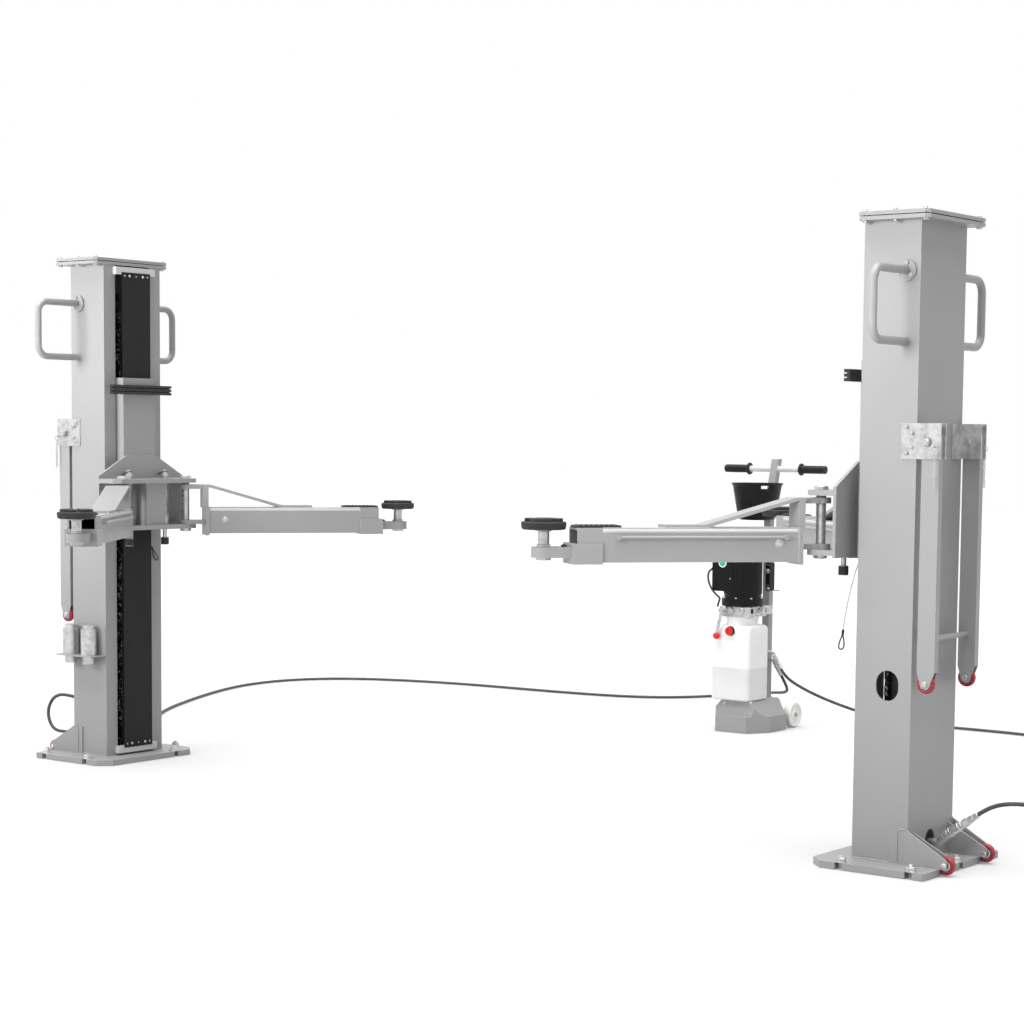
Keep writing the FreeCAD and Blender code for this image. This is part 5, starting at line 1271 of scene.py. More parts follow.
@dataclass(frozen=True)
class TrolleyFittings:
    """The pump trolley's tank, pump, motor, basket, grips, wheels and switch."""

    across: float = 1.455
    pump_across: float = 1.446
    tank_away: float = 2.290
    mast_away: float = 2.483
    mast_half: float = 0.0165
    mast_bend: float = 0.965
    mast_top: float = 1.175
    tank_left: float = 0.107
    tank_right: float = 0.087
    tank_half_depth: float = 0.082
    tank_low: float = 0.133
    tank_high: float = 0.461
    neck_radius: float = 0.070
    neck_high: float = 0.498
    block_half: float = 0.078
    block_high: float = 0.542
    basket_away: float = 2.379
    basket_low: float = 0.913
    basket_high: float = 1.072
    basket_radius: float = 0.112
    basket_foot: float = 0.074
    slot_places: tuple[float, float] = (-34.0, 108.0)
    wheel_away: float = 2.525
    wheel_level: float = 0.0555
    wheel_side: float = 0.112
    bar_level: float = 1.132
    bar_away: float = 2.5277
    bar_half: float = 0.252

    @property
    def middle(self) -> Point:
        """The foot of the tank's upright axis."""
        return (self.pump_across, self.tank_away, 0.0)

    def tank(self) -> Surface:
        """A blown tank: rounded rectangles stacked up, narrower on the left from the shoulder on.

        Each ring is a rounded rectangle whose left side moves in by the shoulder's slope, and the
        last ones are the round neck and its rim.
        """
        left, right, depth = self.tank_left, self.tank_right, self.tank_half_depth
        low, high, neck = self.tank_low, self.tank_high, self.neck_radius - 0.002
        levels = [(low, left - 0.014, right - 0.014, depth - 0.014, 0.012),
                  (low + 0.002, left - 0.006, right - 0.006, depth - 0.006, 0.014),
                  (low + 0.007, left - 0.001, right - 0.001, depth - 0.001, 0.016),
                  (low + 0.016, left, right, depth, 0.017),
                  (0.250, left, right, depth, 0.017),
                  (high - 0.060, left, right, depth, 0.017),
                  (high - 0.053, left - 0.003, right, depth, 0.017),
                  (high - 0.042, left - 0.012, right, depth, 0.017),
                  (high - 0.016, left - 0.035, right, depth, 0.018),
                  (high - 0.007, neck + 0.001, right - 0.002, depth - 0.002, 0.024),
                  (high - 0.002, neck, right - 0.007, depth - 0.006, 0.032),
                  (high, neck, right - 0.013, depth - 0.011, 0.046),
                  (high + 0.001, neck, neck, neck, neck - 0.001),
                  (high + 0.012, neck, neck, neck, neck - 0.001),
                  (self.neck_high - 0.012, neck, neck, neck, neck - 0.001),
                  (self.neck_high - 0.010, neck + 0.002, neck + 0.002, neck + 0.002, neck),
                  (self.neck_high, neck + 0.002, neck + 0.002, neck + 0.002, neck)]
        rings = [np.column_stack([rounded_box(west + east, 2 * deep, corner, 9)
                                  + [(east - west) / 2, 0], np.full(36, z)])
                 for z, west, east, deep, corner in levels]
        return from_rings(np.stack(rings)).shifted(*self.middle)

    def tank_bolts(self) -> Surface:
        """Small domed bolts with washers on the slopes of the tray's hump, in front and on the right."""
        parts = []
        for spot, way in (((1.404, 2.2265, 0.1185), (0, -0.96, 0.27)),
                          ((1.531, 2.230, 0.128), (0.75, 0, 0.66))):
            parts.append(washer(spot, way, 0.0095, 0.002))
            parts.append(domed_bolt(spot, way, 0.0065, 0.0085))
        return joined(parts)

    def filler(self, radii: tuple[float, float], depth: tuple[float, float]) -> Surface:
        """A round cap with flutes: its radius is less by a small wave round it, off the tank's front."""
        steps = 72
        angle = np.arange(steps) * 2 * math.pi / steps
        flute = 0.0007 * np.cos(angle * 18)
        low, high = depth
        rows = [(radii[0], low, 1), (radii[0], high - 0.003, 1), (radii[1], high - 0.0008, 0.5),
                (radii[1] - 0.002, high, 0), (radii[1] * 0.55, high, 0),
                (radii[1] * 0.5, high - 0.0015, 0)]
        table = np.array(rows)
        size = table[:, :1] - table[:, 2:] * flute
        rings = np.stack([size * np.cos(angle), -table[:, 1:2] * np.ones(steps), size * np.sin(angle)], -1)
        cap = from_rings(rings)
        return cap.shifted(self.pump_across - 0.008, self.tank_away - self.tank_half_depth, 0.437)

    def lever(self) -> Surface:
        """The lowering lever: a flat strap that leaves the valve level and bends down to its knob."""
        root = np.array([self.pump_across - 0.041, self.tank_away - self.block_half - 0.001, 0.530])
        corners = np.array([[0.013, -0.012, 0.006], [0.002, -0.0195, 0.002], [-0.006, -0.0215, -0.020],
                            [-0.0165, -0.0215, -0.062], [-0.0265, -0.0215, -0.104]])
        u = np.linspace(0, 1, 5)
        travel = np.linspace(0, 1, 26)
        path = root + np.stack([np.interp(travel, u, corners[:, axis]) for axis in range(3)], -1)
        strap = swept(path, rounded_box(0.003, 0.0155, 0.0012, 3), hint=(0, 1, 0))
        hub = revolved([(0.0135, 0), (0.0135, 0.010), (0.012, 0.0115), (0.0085, 0.0115), (0.0085, 0.0185),
                        (0.007, 0.020)], root, (0, -1, 0), 28)
        collar = revolved([(0.0062, 0), (0.0062, 0.009), (0.0048, 0.012)],
                          root + [-0.0275, -0.0215, -0.106], (0, 0, 1), 16)
        return joined([strap, hub, collar])

    def knob(self) -> Surface:
        """A ball knob: a sphere cut flat where the lever enters it."""
        angle = np.linspace(math.radians(-88), math.radians(75), 18)
        profile = np.column_stack([0.0155 * np.cos(angle), 0.0155 * np.sin(angle)])
        spot = (self.pump_across - 0.069, self.tank_away - self.block_half - 0.022, 0.414)
        return revolved(profile, spot, UP, 28)

    def manifold(self) -> Surface:
        """The pump's square block with broken edges, its wide lower flange and a ring under the motor."""
        half = self.block_half - 0.002
        body = slab(rounded_box(2 * half - 0.006, 2 * half - 0.006, 0.004), self.neck_high + 0.004,
                    self.block_high - 0.002, bevel=0.0015)
        flange = slab(rounded_box(2 * half, 2 * half, 0.006), self.neck_high - 0.001,
                      self.neck_high + 0.0055, bevel=0.001)
        ring = revolved([(0.074, self.block_high - 0.003), (0.0775, self.block_high - 0.0025),
                         (0.0775, self.block_high), (0.070, self.block_high)], (0, 0, 0), UP, 48)
        saddle = slab(rounded_box(0.076, 0.101, 0.002), self.neck_high + 0.002, self.block_high - 0.004)
        return joined([body, flange, ring, saddle.shifted(0.009, 0.1255)]).shifted(*self.middle)

    def valves(self) -> Surface:
        """Cartridge valves, plugs and socket screws on the faces of the block."""
        z = (self.neck_high + self.block_high) / 2 + 0.004
        face = self.block_half - 0.0052
        parts = []
        for x, radius, reach in ((-0.015, 0.0165, 0.010), (0.039, 0.0150, 0.007)):
            parts.append(revolved([(radius, 0), (radius, reach), (radius - 0.0015, reach + 0.0015),
                                   (radius * 0.62, reach + 0.0015), (radius * 0.55, reach - 0.001)],
                                  (x, -face, z), (0, -1, 0), 28))
        for x, level in ((0.012, 0.012), (0.012, -0.012), (0.065, 0.012), (0.065, -0.011)):
            parts.append(domed_bolt((x, -face, z + level), (0, -1, 0), 0.0050, 0.004))
        parts.append(revolved([(0.0148, 0.072), (0.0148, 0.080), (0.0115, 0.081), (0.0115, 0.0845),
                               (0.0138, 0.085), (0.0138, 0.090), (0.0115, 0.0918)],
                              (0, -0.039, z - 0.003), (-1, 0, 0), 28))
        parts.append(hex_head((-0.0725, 0.030, z - 0.002), (-1, 0, 0), 0.024, 0.010))
        for away, radius in ((0.025, 0.0125), (0.060, 0.0115)):
            parts.append(revolved([(radius, 0), (radius, 0.006), (radius * 0.75, 0.008),
                                   (radius * 0.75, 0.013), (radius * 0.9, 0.0145), (radius * 0.9, 0.018),
                                   (radius * 0.6, 0.0195)], (face, away, z - 0.001), (1, 0, 0), 24))
        for away, level in ((-0.066, 0.012), (-0.012, 0.012), (-0.012, -0.011), (0.043, 0.013)):
            parts.append(domed_bolt((face, away, z + level), (1, 0, 0), 0.0050, 0.004))
        return joined(parts).shifted(*self.middle)

    def port(self) -> Surface:
        """A black dish on the right face of the block: painted shade for the threaded mouth of an open
        port.
        """
        z = (self.neck_high + self.block_high) / 2 + 0.003
        return revolved([(0.0108, 0), (0.0108, 0.0016), (0.0092, 0.0016), (0.0088, 0.0010)],
                        (self.block_half - 0.0052, -0.041, z), (1, 0, 0), 24).shifted(*self.middle)

    def motor(self) -> Surface:
        """The motor case: a turned profile with end rings, whose middle carries low cooling ribs.

        The radius is the profile's, plus a rib's height where the cosine of forty times the angle
        is high, and only on the case's middle length.
        """
        steps = 240
        angle = np.arange(steps) * 2 * math.pi / steps
        rib = np.clip(np.cos(angle * 40) * 2.2, -1, 1)
        low = self.block_high
        rows = [(0.084, low, 0), (0.0900, low + 0.002, 0), (0.0915, low + 0.004, 0),
                (0.0915, low + 0.029, 0), (0.0895, low + 0.034, 0), (0.0835, low + 0.0355, 0),
                (0.0805, low + 0.038, 0), (0.0805, low + 0.050, 0), (0.0820, low + 0.052, 0),
                (0.0820, low + 0.056, 1), (0.0820, low + 0.238, 1), (0.0820, low + 0.241, 0),
                (0.0835, low + 0.243, 0), (0.0835, low + 0.294, 0), (0.081, low + 0.303, 0),
                (0.074, low + 0.311, 0), (0.064, low + 0.316, 0), (0.050, low + 0.3175, 0),
                (0.048, low + 0.316, 0), (0.020, low + 0.316, 0)]
        table = np.array(rows)
        radius = table[:, :1] + table[:, 2:] * 0.0011 * rib
        rings = np.stack([radius * np.cos(angle), radius * np.sin(angle),
                          table[:, 1:2] * np.ones(steps)], -1)
        return from_rings(rings).shifted(*self.middle)

    def motor_screws(self) -> Surface:
        """Screws round the motor's foot and on its case."""
        foot = [hex_head((0.0862 * math.cos(a), 0.0862 * math.sin(a), self.block_high + 0.0345), UP,
                         0.008, 0.005) for a in np.arange(8) * math.pi / 4 + 0.2]
        case = [domed_bolt((0.0825 * math.cos(a), 0.0825 * math.sin(a), self.block_high + 0.120),
                           (math.cos(a), math.sin(a), 0), 0.0034, 0.0026) for a in (-1.75, 0.4, 2.2)]
        return joined(foot + case).shifted(*self.middle)

    def starter(self) -> Surface:
        """The starter box on the motor's front left: a shell with round corners and a sunk lid."""
        low, high = np.array([1.3365, 2.2105, 0.606]), np.array([1.4475, 2.2700, 0.799])
        centre, size = (low + high) / 2, high - low
        body = slab(rounded_box(size[0], size[2], 0.007), -size[1] / 2 + 0.003, size[1] / 2, STAND,
                    centre, 0.002)
        lid = slab(rounded_box(size[0] - 0.006, size[2] - 0.006, 0.006), -size[1] / 2,
                   -size[1] / 2 + 0.005, STAND, centre, 0.0015)
        gland = revolved([(0.008, 0), (0.008, 0.006), (0.006, 0.009)], (low[0] + 0.002, 2.222, 0.700),
                         (-1, 0, 0), 20)
        return joined([body, lid, gland])

    def start_button(self) -> Surface:
        """A flat round push button on the starter box."""
        return revolved([(0.0150, 0), (0.0150, 0.0034), (0.0135, 0.0048), (0.004, 0.0052)],
                        (1.3905, 2.2115, 0.729), (0, -1, 0), 32)

    def button_ring(self) -> Surface:
        """The pale ring round the push button."""
        return revolved([(0.0200, 0), (0.0200, 0.0020), (0.0190, 0.0028), (0.0152, 0.0028), (0.0152, 0)],
                        (1.3905, 2.2112, 0.729), (0, -1, 0), 32, loop=True)

    def basket(self) -> tuple[Surface, np.ndarray]:
        """The basket's outside as an open grid, and which faces its hand slots leave out.

        The radius grows from the foot's to the rim's along the height, turns in over the last
        centimetre of the foot, and flares by a few millimetres at the rim.
        """
        around, up = 160, 44
        angle = np.arange(around) * 2 * math.pi / around
        height = np.concatenate([np.linspace(0, 0.012, 6), np.linspace(0.0155, 0.149, 32),
                                 np.linspace(0.1515, 0.159, 6)])
        share = height / (self.basket_high - self.basket_low)
        radius = self.basket_foot + 0.007 + (self.basket_radius - 0.0045 - self.basket_foot - 0.007) * share
        radius = radius - 0.010 * np.clip(1 - height / 0.012, 0, 1) ** 2
        radius = radius + 0.0042 * np.clip((height - 0.148) / 0.006, 0, 1) ** 0.7
        rings = np.stack([radius[:, None] * np.cos(angle), radius[:, None] * np.sin(angle),
                          (self.basket_low + height)[:, None] * np.ones(around)], -1)
        shell = from_rings(rings)
        row, column = np.divmod(np.arange(len(shell.quads)), around)
        middle = angle[column] + math.pi / around + math.pi
        way = np.minimum(*[np.abs((middle - math.radians(place)) % (2 * math.pi) - math.pi)
                           for place in self.slot_places]) * 0.104
        level = (height[row] + height[np.minimum(row + 1, up - 1)]) / 2
        slot = (way < 0.030) & (np.abs(level - 0.1415) < 0.0085 - 0.003 * (way > 0.0265))
        bottom = Surface(shell.points, shell.quads, [shell.caps[0]])
        return bottom.shifted(self.across, self.basket_away), slot

    def basket_bracket(self) -> Surface:
        """A strap bent in two from the mast to the basket's side, with a washer plate."""
        level = self.mast_bend + 0.025
        reach = self.basket_foot + (self.basket_radius - self.basket_foot) * (
            (level - self.basket_low) / (self.basket_high - self.basket_low))
        face = self.mast_away - self.mast_half - self.basket_away
        plate = slab(rounded_box(0.044, 0.044, 0.006), reach - 0.001, reach + 0.003, STAND, (0, 0, level))
        arm = slab(rounded_box(0.030, 0.040, 0.003), reach, face + 0.006, STAND, (0, 0, level))
        return joined([plate, arm]).shifted(self.across, self.basket_away)

    def grips(self) -> Surface:
        """Two grips: a turned profile with rounded rings, a flange at the inner end and a closed tip.

        The radius is the grip's plus half a millimetre times a fast sine of the way along.
        """
        u = np.linspace(0, 1, 97)
        ribs = 0.0165 + 0.0011 * np.clip(np.sin(u * 2 * math.pi * 16) * 2, -1, 1)
        ribs = np.where((u > 0.06) & (u < 0.94), ribs, 0.0172)
        body = np.column_stack([ribs, 0.012 + u * 0.111])
        flange = np.array([[0.0135, 0.0], [0.024, 0.0], [0.0266, 0.003], [0.0266, 0.007],
                           [0.0235, 0.0105], [0.0180, 0.0115]])
        tip = np.array([[0.0175, 0.1245], [0.0165, 0.1268], [0.0135, 0.128], [0.003, 0.128]])
        profile = np.vstack([flange, body, tip])
        return joined([revolved(profile, (self.across + side * (self.bar_half + 0.003 - 0.128),
                                          self.bar_away, self.bar_level), (side, 0, 0), 40)
                       for side in SIDES])

    def bar_caps(self) -> Surface:
        """The plug in the mast's top end and the weld where the handlebar crosses it."""
        top = self.mast_away + (self.mast_top - self.mast_bend) * math.tan(math.radians(15))
        cap = slab(rounded_box(0.032, 0.0332, 0.005), self.mast_top - 0.0015, self.mast_top + 0.0025,
                   bevel=0.0012)
        rings = [hoop((self.across + side * 0.0168, self.bar_away, self.bar_level), (0, 0.0138, 0),
                      (0, 0, 0.0138), 0.0022) for side in SIDES]
        return joined([cap.shifted(self.across, top), *rings])

    def wheel(self, side: int) -> Surface:
        """A moulded wheel: a crowned tread, a sunk web with a rim and a boss round the bore."""
        half = 0.017
        u = np.linspace(-1, 1, 11)
        tread = np.column_stack([0.0555 - 0.0035 * u ** 6, u * half])
        face = np.array([[0.049, half], [0.042, half - 0.001], [0.040, half - 0.005],
                         [0.023, half - 0.005], [0.021, half - 0.0005], [0.0115, half],
                         [0.0086, half - 0.001]])
        back = face[::-1] * [1, -1]
        profile = np.vstack([tread, face, back])
        spot = (self.across + side * self.wheel_side, self.wheel_away, self.wheel_level)
        return revolved(profile, spot, (1, 0, 0), 64, loop=True)

    def axle_ends(self) -> Surface:
        """A washer on each end of the axle."""
        return joined([washer((self.across + side * (self.wheel_side + 0.0172), self.wheel_away,
                               self.wheel_level), (side, 0, 0), 0.0100, 0.0015) for side in SIDES])

    def tray_bolts(self) -> Surface:
        """Bolts at the tray's back, a short one on each side of the mast's foot."""
        parts = []
        for x, y in ((-0.040, 2.455), (-0.040, 2.505), (0.040, 2.515)):
            parts.append(bolt_with_nut((self.across + x, y, 0.0695), UP, 0.010, 0.010))
        parts.append(threaded_stud((1.495, 2.478, 0.069), UP, 0.005, 0.036))
        parts += [hex_head((1.495, 2.478, level), UP, 0.018, 0.008) for level in (0.0695, 0.094)]
        front = self.mast_away - self.mast_half - 0.001
        parts.append(weld_bead([(self.across - 0.018, front, 0.0715), (self.across + 0.018, front, 0.0715)],
                               0.003))
        return joined(parts)

    def switch(self) -> Surface:
        """The switch box: a moulded shell with a sunk lid and a raised rim."""
        low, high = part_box("switch_box")
        centre, size = (low + high) / 2, high - low
        outline = rounded_box(size.x - 0.003, size.z - 0.002, 0.006)
        body = slab(outline, -size.y / 2 + 0.004, size.y / 2, STAND, centre, 0.002)
        lid = slab(rounded_box(size.x - 0.007, size.z - 0.007, 0.005), -size.y / 2 + 0.0005,
                   -size.y / 2 + 0.006, STAND, centre, 0.0015)
        gland = revolved([(0.009, 0), (0.009, 0.010), (0.007, 0.014), (0.007, 0.020)],
                         (centre.x, centre.y, low.z + 0.0205), (0, 0, -1), 20)
        return joined([body, lid, gland])

    def switch_knobs(self) -> Surface:
        """A turn switch with a bar across it, a bright edge at its top and a screw below."""
        low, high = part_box("switch_box")
        x = (low.x + high.x) / 2
        front = low.y + 0.001
        dial = revolved([(0.0105, 0), (0.0105, 0.003), (0.0095, 0.0045)], (x, front, high.z - 0.038),
                        (0, -1, 0), 32)
        bar = slab(rounded_box(0.007, 0.019, 0.0025), 0, 0.011, STAND).turned(50, axis="Y")
        edges = [slab(rounded_box(0.018, 0.0035, 0.001), -0.001, 0.002, STAND, (x, front, level))
                 for level in (high.z - 0.011, low.z + 0.026)]
        screw = domed_bolt((x + 0.004, front, low.z + 0.012), (0, -1, 0), 0.0068, 0.005)
        rod = revolved([(0.0022, 0), (0.0022, 0.036)], (high.x - 0.001, low.y + 0.024, low.z + 0.0035),
                       (1, 0, 0), 12)
        return joined([dial, bar.shifted(x, front - 0.012, high.z - 0.038), *edges, screw, rod])

    def motor_lead(self) -> Surface:
        """The short black lead from the starter box down to the valve: a tube on a smooth arc."""
        u = np.linspace(0, 1, 40)[:, None]
        a = np.array([1.3320, 2.222, 0.700])
        b = np.array([1.2980, 2.212, 0.690])
        c = np.array([1.3180, 2.205, 0.612])
        d = np.array([1.3840, 2.202, 0.579])
        path = (1 - u) ** 3 * a + 3 * u * (1 - u) ** 2 * b + 3 * u ** 2 * (1 - u) * c + u ** 3 * d
        stub = np.array([[1.3835, 2.203, 0.574], [1.3770, 2.207, 0.562], [1.3660, 2.216, 0.546],
                         [1.3600, 2.226, 0.539]])
        return tube_along(np.vstack([path[:-1], stub]), 0.0042, 12, uv=False)

    def dress(self, finishes: Finishes) -> None:
        """Makes the pieces."""
        f = finishes
        fixed = (("oil_tank_shell", self.tank(), f.tank, "tank_plastic", ("oil_tank",)),
                 ("tank_feet", self.tank_bolts(), f.zinc, "zinc", ()),
                 ("filler_ring", self.filler((0.0205, 0.0195), (0.0, 0.011)), f.black_plastic,
                  "black_plastic", ("tank_controls",)),
                 ("filler_top", self.filler((0.0182, 0.0172), (0.008, 0.0198)), f.red, "red_plastic", ()),
                 ("lowering_lever", self.lever(), f.zinc, "zinc", ()),
                 ("lowering_knob", self.knob(), f.red, "red_plastic", ()),
                 ("pump_manifold", self.manifold(), f.zinc, "zinc", ("pump_block",)),
                 ("pump_valves", self.valves(), f.steel, "zinc", ()),
                 # painted shade: a black dish for the dark inside of an open port
                 ("pump_port", self.port(), f.black_plastic, "black_plastic", ()),
                 ("motor_case", self.motor(), f.enamel, "black_paint", ("pump_motor",)),
                 ("motor_screws", self.motor_screws(), f.zinc, "zinc", ()),
                 ("starter_box_shell", self.starter(), f.black_plastic, "black_plastic", ()),
                 ("start_button", self.start_button(), f.green, "black_plastic", ()),
                 ("start_button_ring", self.button_ring(), f.nylon, "nylon", ()),
                 ("motor_lead", self.motor_lead(), f.rubber, "black_rubber", ()),
                 ("basket_bracket", self.basket_bracket(), f.black_plastic, "black_plastic", ()),
                 ("grip_sleeves", self.grips(), f.grip, "black_rubber", ("handlebar_grips",)),
                 ("mast_cap", self.bar_caps(), f.bar, "grey_paint", ()),
                 ("tray_bolts", self.tray_bolts(), f.zinc, "zinc", ()),
                 ("axle_washers", self.axle_ends(), f.zinc, "zinc", ()),
                 ("switch_shell", self.switch(), f.black_plastic, "black_plastic", ("switch_box",)),
                 ("switch_knobs", self.switch_knobs(), f.steel, "zinc", ()))
        for name, surface, finish, slot, stood_for in fixed:
            add_piece(name, surface, finish, "posts", slot, stood_for)
        wheels = joined([self.wheel(side) for side in SIDES])
        add_piece("trolley_wheel_pair", wheels, f.nylon, "trolley_wheels", "nylon", ("trolley_wheels",))
        shell, slot = self.basket()
        shell = Surface(shell.points, shell.quads[~slot], shell.caps)
        piece = add_piece("basket_shell", shell, f.black_plastic, "posts", "black_plastic",
                          ("tool_basket",))
        wall = piece.modifiers.new("wall", "SOLIDIFY")
        wall.thickness = 0.0028
        wall.offset = -1.0


# hoses and wires


@dataclass(frozen=True)
class HosePair:
    """The two hydraulic hoses of the pump, with their crimped ends and the quick coupler."""

    diameter: float = 0.013
    left_route: tuple[Point, ...] = (
        (-76.5, 0, 77), (-180, 0, 74), (-285, 0, 68), (-385, 1, 66), (-428, 6, 140), (-385, 14, 213),
        (-297, 34, 210), (-236, 82, 174), (-184, 150, 134), (-165, 245, 88), (-190, 350, 42),
        (-262, 455, 14), (-368, 565, 6.5), (-505, 695, 6.5), (-646, 822, 6.5), (-778, 950, 6.5),
        (-886, 1096, 6.5), (-984, 1258, 6.5), (-1074, 1425, 6.5), (-1161, 1597, 6.5),
        (-1241, 1772, 6.5), (-1310, 1952, 6.5), (-1352, 2135, 6.5), (-1354, 2312, 6.5),
        (-1308, 2468, 6.5), (-1212, 2602, 6.5), (-1072, 2702, 6.5), (-902, 2772, 6.5),
        (-722, 2820, 6.5), (-536, 2850, 6.5), (-348, 2866, 6.5), (-158, 2876, 6.5), (30, 2889, 6.5),
        (218, 2912, 6.5), (398, 2956, 6.5), (545, 3040, 6.5), (640, 3155, 6.5), (702, 3276, 6.5),
        (750, 3392, 6.5), (842, 3446, 6.5), (934, 3400, 8.5), (990, 3275, 20), (1052, 3142, 40),
        (1125, 3010, 62), (1202, 2886, 86), (1284, 2776, 107), (1366, 2699, 122), (1438, 2649, 131),
        (1490, 2604, 144), (1513, 2566, 166), (1513, 2535, 203), (1501, 2513, 244),
    )
    right_route: tuple[Point, ...] = (
        (1520, 2478, 277), (1540, 2483, 237), (1570, 2519, 196), (1628, 2597, 144), (1710, 2700, 90),
        (1815, 2792, 45), (1941, 2867, 17), (2085, 2912, 8), (2250, 2932, 6.5), (2425, 2930, 6.5),
        (2608, 2905, 6.5), (2790, 2860, 6.5), (2968, 2798, 6.5), (3140, 2720, 6.5), (3304, 2625, 6.5),
        (3458, 2512, 6.5), (3600, 2385, 6.5), (3726, 2240, 6.5), (3835, 2082, 6.5), (3925, 1912, 6.5),
        (3992, 1732, 6.5), (4038, 1545, 6.5), (4064, 1355, 6.5), (4073, 1165, 6.5), (4070, 975, 6.5),
        (4062, 790, 6.5), (4051, 615, 9), (4040, 462, 26), (4024, 330, 66), (3991, 215, 122),
        (3936, 118, 172), (3862, 55, 203), (3780, 27, 208), (3708, 22, 189), (3659, 20, 150),
    )

    def ferrule(self, line: np.ndarray, length: float = 0.042) -> Surface:
        """A crimped sleeve at a line's first point: a turned profile with eight pressed flats."""
        way = unit(line[0] - line[3])
        profile = [(0.0070, 0), (0.0092, 0.002), (0.0094, length * 0.32), (0.0084, length * 0.36),
                   (0.0094, length * 0.40), (0.0094, length * 0.62), (0.0084, length * 0.66),
                   (0.0094, length * 0.70), (0.0092, length - 0.003), (0.0070, length)]
        return revolved(profile, line[0] - way * length * 0.55, way, 16)

    def rings(self, line: np.ndarray, spans: Sequence[Point]) -> Surface:
        """Turned rings on the fitting beyond a line's first point: radius, start and end of each."""
        way = unit(line[0] - line[3])
        return joined([revolved([(radius - 0.0012, start), (radius, start + 0.0012),
                                 (radius, end - 0.0012), (radius - 0.0012, end)], line[0], way, steps)
                       for radius, start, end, steps in spans])

    def dress(self, finishes: Finishes) -> None:
        small = ((0.0112, 0.020, 0.032, 6), (0.0092, 0.036, 0.046, 28))
        coupler = ((0.0130, 0.014, 0.034, 6), (0.0122, 0.038, 0.044, 32), (0.0152, 0.048, 0.076, 36),
                   (0.0160, 0.080, 0.085, 36), (0.0152, 0.089, 0.104, 36), (0.0136, 0.108, 0.122, 6))
        for name, route, ends in (("left_hose", self.left_route, (False, True)),
                                  ("right_hose", self.right_route, (True, True))):
            line = routed(f"{name}_line", route)
            tube = tube_along(line, self.diameter / 2, 16)
            hose = add_piece(f"{name}_run", tube, finishes.hose, "posts", "black_rubber", (name,))
            sleeves = []
            if ends[0]:
                sleeves += [self.ferrule(line), self.rings(line, small)]
            if ends[1]:
                last = coupler if ends[0] else small
                sleeves += [self.ferrule(line[::-1]), self.rings(line[::-1], last)]
            crimps = add_piece(f"{name}_crimps", joined(sleeves), finishes.steel, "posts", "zinc")
            LOG.info("%s is %.2f m long", name, measured(line))


# the camera, the light and the floor


@dataclass(frozen=True)
class PhotoCamera:
    """The photograph's camera: its place, its angles in radians, and its lens."""

    place: tuple[float, float, float] = (6.597, -6.040, 1.268)
    yaw: float = -0.6435
    pitch: float = 0.0848
    roll: float = 0.0097
    lens: float = 79.27
    shift: tuple[float, float] = (-0.0276, 0.1127)

    def build(self) -> None:
        """Makes the scene's camera. Its axes are right, up and back, turned by the roll."""
        forward = Vector((math.sin(self.yaw) * math.cos(self.pitch),
                          math.cos(self.yaw) * math.cos(self.pitch), -math.sin(self.pitch)))
        right = Vector((math.cos(self.yaw), -math.sin(self.yaw), 0))
        up = right.cross(forward)
        rolled_right = math.cos(self.roll) * right + math.sin(self.roll) * up
        rolled_up = -math.sin(self.roll) * right + math.cos(self.roll) * up
        data = bpy.data.cameras.new("photo_camera")
        data.sensor_width = 36
        data.lens = self.lens
        data.shift_x, data.shift_y = self.shift
        data.clip_end = 100
        camera = bpy.data.objects.new("photo_camera", data)
        camera.matrix_world = Matrix((
            (rolled_right.x, rolled_up.x, -forward.x, self.place[0]),
            (rolled_right.y, rolled_up.y, -forward.y, self.place[1]),
            (rolled_right.z, rolled_up.z, -forward.z, self.place[2]),
            (0, 0, 0, 1)))
        bpy.context.scene.collection.objects.link(camera)
        bpy.context.scene.camera = camera


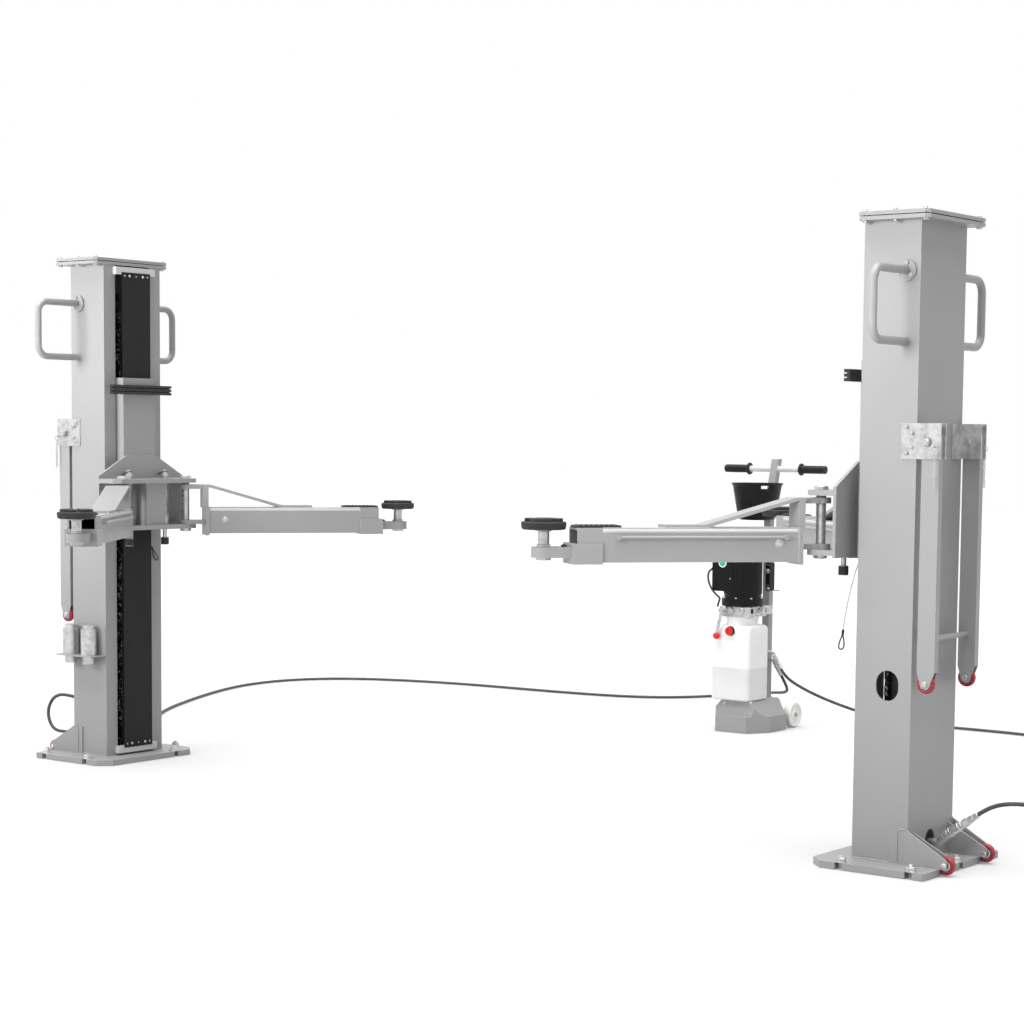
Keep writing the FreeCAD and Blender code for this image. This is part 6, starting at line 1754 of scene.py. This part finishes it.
@dataclass(frozen=True)
class Studio:
    """A pale floor, a white world and three soft lamps."""

    floor_size: float = 60.0
    floor_level: float = 0.50
    world_level: float = 0.45
    sun_power: float = 4.2
    near_power: float = 80.0
    post_powers: tuple[float, float] = (15.8, 11.6)

    def floor(self) -> None:
        """A large pale floor that keeps the shadow and lifts its own white a little for the camera."""
        g = Graph("pale_floor")
        g.set(Base_Color=(self.floor_level,) * 3 + (1,), Roughness=0.9)
        path = g.node("LightPath")
        seen = g.math("MAXIMUM", path.outputs["Is Camera Ray"], path.outputs["Is Glossy Ray"])
        glow = g.node("Emission", Strength=g.math("MULTIPLY", seen, 0.20))
        both = g.node("AddShader", g.shader.outputs["BSDF"], glow.outputs["Emission"])
        g.join(both.outputs["Shader"], g.output.inputs["Surface"])
        half = self.floor_size / 2
        mesh = bpy.data.meshes.new("studio_floor")
        mesh.from_pydata([(-half, -half, -0.002), (half, -half, -0.002), (half, half, -0.002),
                          (-half, half, -0.002)], [], [(0, 1, 2, 3)])
        mesh.materials.append(g.material)
        floor = bpy.data.objects.new("studio_floor", mesh)
        bpy.context.scene.collection.objects.link(floor)

    def world(self) -> None:
        """A world that lights at one level and shows white to the camera and to reflections."""
        world = bpy.data.worlds.new("studio_world")
        world.use_nodes = True
        nodes, links = world.node_tree.nodes, world.node_tree.links
        nodes.clear()
        output = nodes.new("ShaderNodeOutputWorld")
        path = nodes.new("ShaderNodeLightPath")
        seen = nodes.new("ShaderNodeMath")
        seen.operation = "MAXIMUM"
        links.new(path.outputs["Is Camera Ray"], seen.inputs[0])
        links.new(path.outputs["Is Glossy Ray"], seen.inputs[1])
        level = nodes.new("ShaderNodeMapRange")
        level.inputs["To Min"].default_value = self.world_level
        level.inputs["To Max"].default_value = 1.0
        links.new(seen.outputs["Value"], level.inputs["Value"])
        back = nodes.new("ShaderNodeBackground")
        links.new(level.outputs["Result"], back.inputs["Strength"])
        links.new(back.outputs["Background"], output.inputs["Surface"])
        back.inputs["Color"].default_value = (1, 1, 1, 1)
        bpy.context.scene.world = world

    def lamp(self, kind: str, name: str, place: Point, target: Point, power: float, size: float,
             spread: float = math.pi) -> None:
        """A lamp that faces a point: a sun of a wide angle, or a square of a size and a spread.

        A square lamp stays out of reflections, where it would burn out the paint.
        """
        data = bpy.data.lights.new(name, kind)
        data.energy = power
        if kind == "SUN":
            data.angle = size
        else:
            data.shape, data.size, data.spread = "SQUARE", size, spread
        lamp = bpy.data.objects.new(name, data)
        lamp.location = place
        lamp.rotation_euler = (Vector(target) - Vector(place)).to_track_quat("-Z", "Y").to_euler()
        lamp.visible_camera = False
        lamp.visible_glossy = kind == "SUN"
        bpy.context.scene.collection.objects.link(lamp)

    def build(self) -> None:
        """Makes the floor, the world and the lamps, and sets the plain view.

        A wide sun overhead lights the tops and the floor evenly, and a lamp level with the top of
        each post lights the upper half of its near side.
        """
        self.floor()
        self.world()
        self.lamp("SUN", "overhead_sun", (0, 0, 6), (0.3, 0.6, 0), self.sun_power, 1.2)
        for side, x, power in zip(Side, (-0.3, 3.1), self.post_powers):
            self.lamp("AREA", f"{side.value}_post_lamp", (x, -3.2, 2.0), (x + 0.25, 0, 1.75), power, 0.9,
                      math.radians(64))
        self.lamp("AREA", "near_lamp", (1.7, -5.5, 1.4), (1.7, 0, 0.9), self.near_power, 3.0)
        bpy.context.scene.view_settings.view_transform = "Standard"


def dress_cad(finishes: Finishes) -> None:
    """Gives every CAD node its finish. Nodes that no line names are painted."""
    looks = ((finishes.cover, ("cover_strips",)), (finishes.enamel, ("lift_cylinders",)),
             (finishes.bar, ("strip_clamps", "handlebar")),
             (finishes.rubber, ("left_door_bumper", "right_door_bumper")),
             (finishes.zinc, ("leg_brackets", "height_adapters", "hose_fittings",
                              "left_near_lock_pin", "left_far_lock_pin", "right_near_lock_pin",
                              "right_far_lock_pin")))
    special = {name: finish for finish, names in looks for name in names}
    for name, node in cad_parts.items():
        node.data.materials.clear()
        node.data.materials.append(special.get(name, finishes.paint))
    LOG.info("dressed %d CAD nodes", len(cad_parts))


def main() -> None:
    """Builds the whole scene, piece by piece."""
    logging.basicConfig(level=logging.INFO, format="%(name)s: %(message)s")
    PhotoCamera().build()
    Studio().build()
    finishes = Finishes()
    dress_cad(finishes)
    HosePair().dress(finishes)
    for side in Side:
        post = PostFrame(side)
        ColumnFittings(post).dress(finishes)
        LegFittings(post).dress(finishes)
        CarriageFittings(post).dress(finishes)
        CasterPair(f"{post.name}_base_wheels", -0.214, 0.030, 0.13175, 0.020,
                   0.113, 0.1505).dress(post, finishes, "posts")
        CasterPair(f"{post.name}_leg_wheels", -0.135, 0.556, 0.1315, 0.016,
                   0.1195, 0.1435).dress(post, finishes, f"{post.name}_transport_legs")
    for side, row, degrees in ((Side.LEFT, Row.NEAR, -53.0), (Side.LEFT, Row.FAR, 54.0),
                               (Side.RIGHT, Row.NEAR, -129.5), (Side.RIGHT, Row.FAR, 140.5)):
        ArmFittings(side, row, degrees).dress(finishes)
    TrolleyFittings().dress(finishes)


if __name__ == "__main__":
    main()
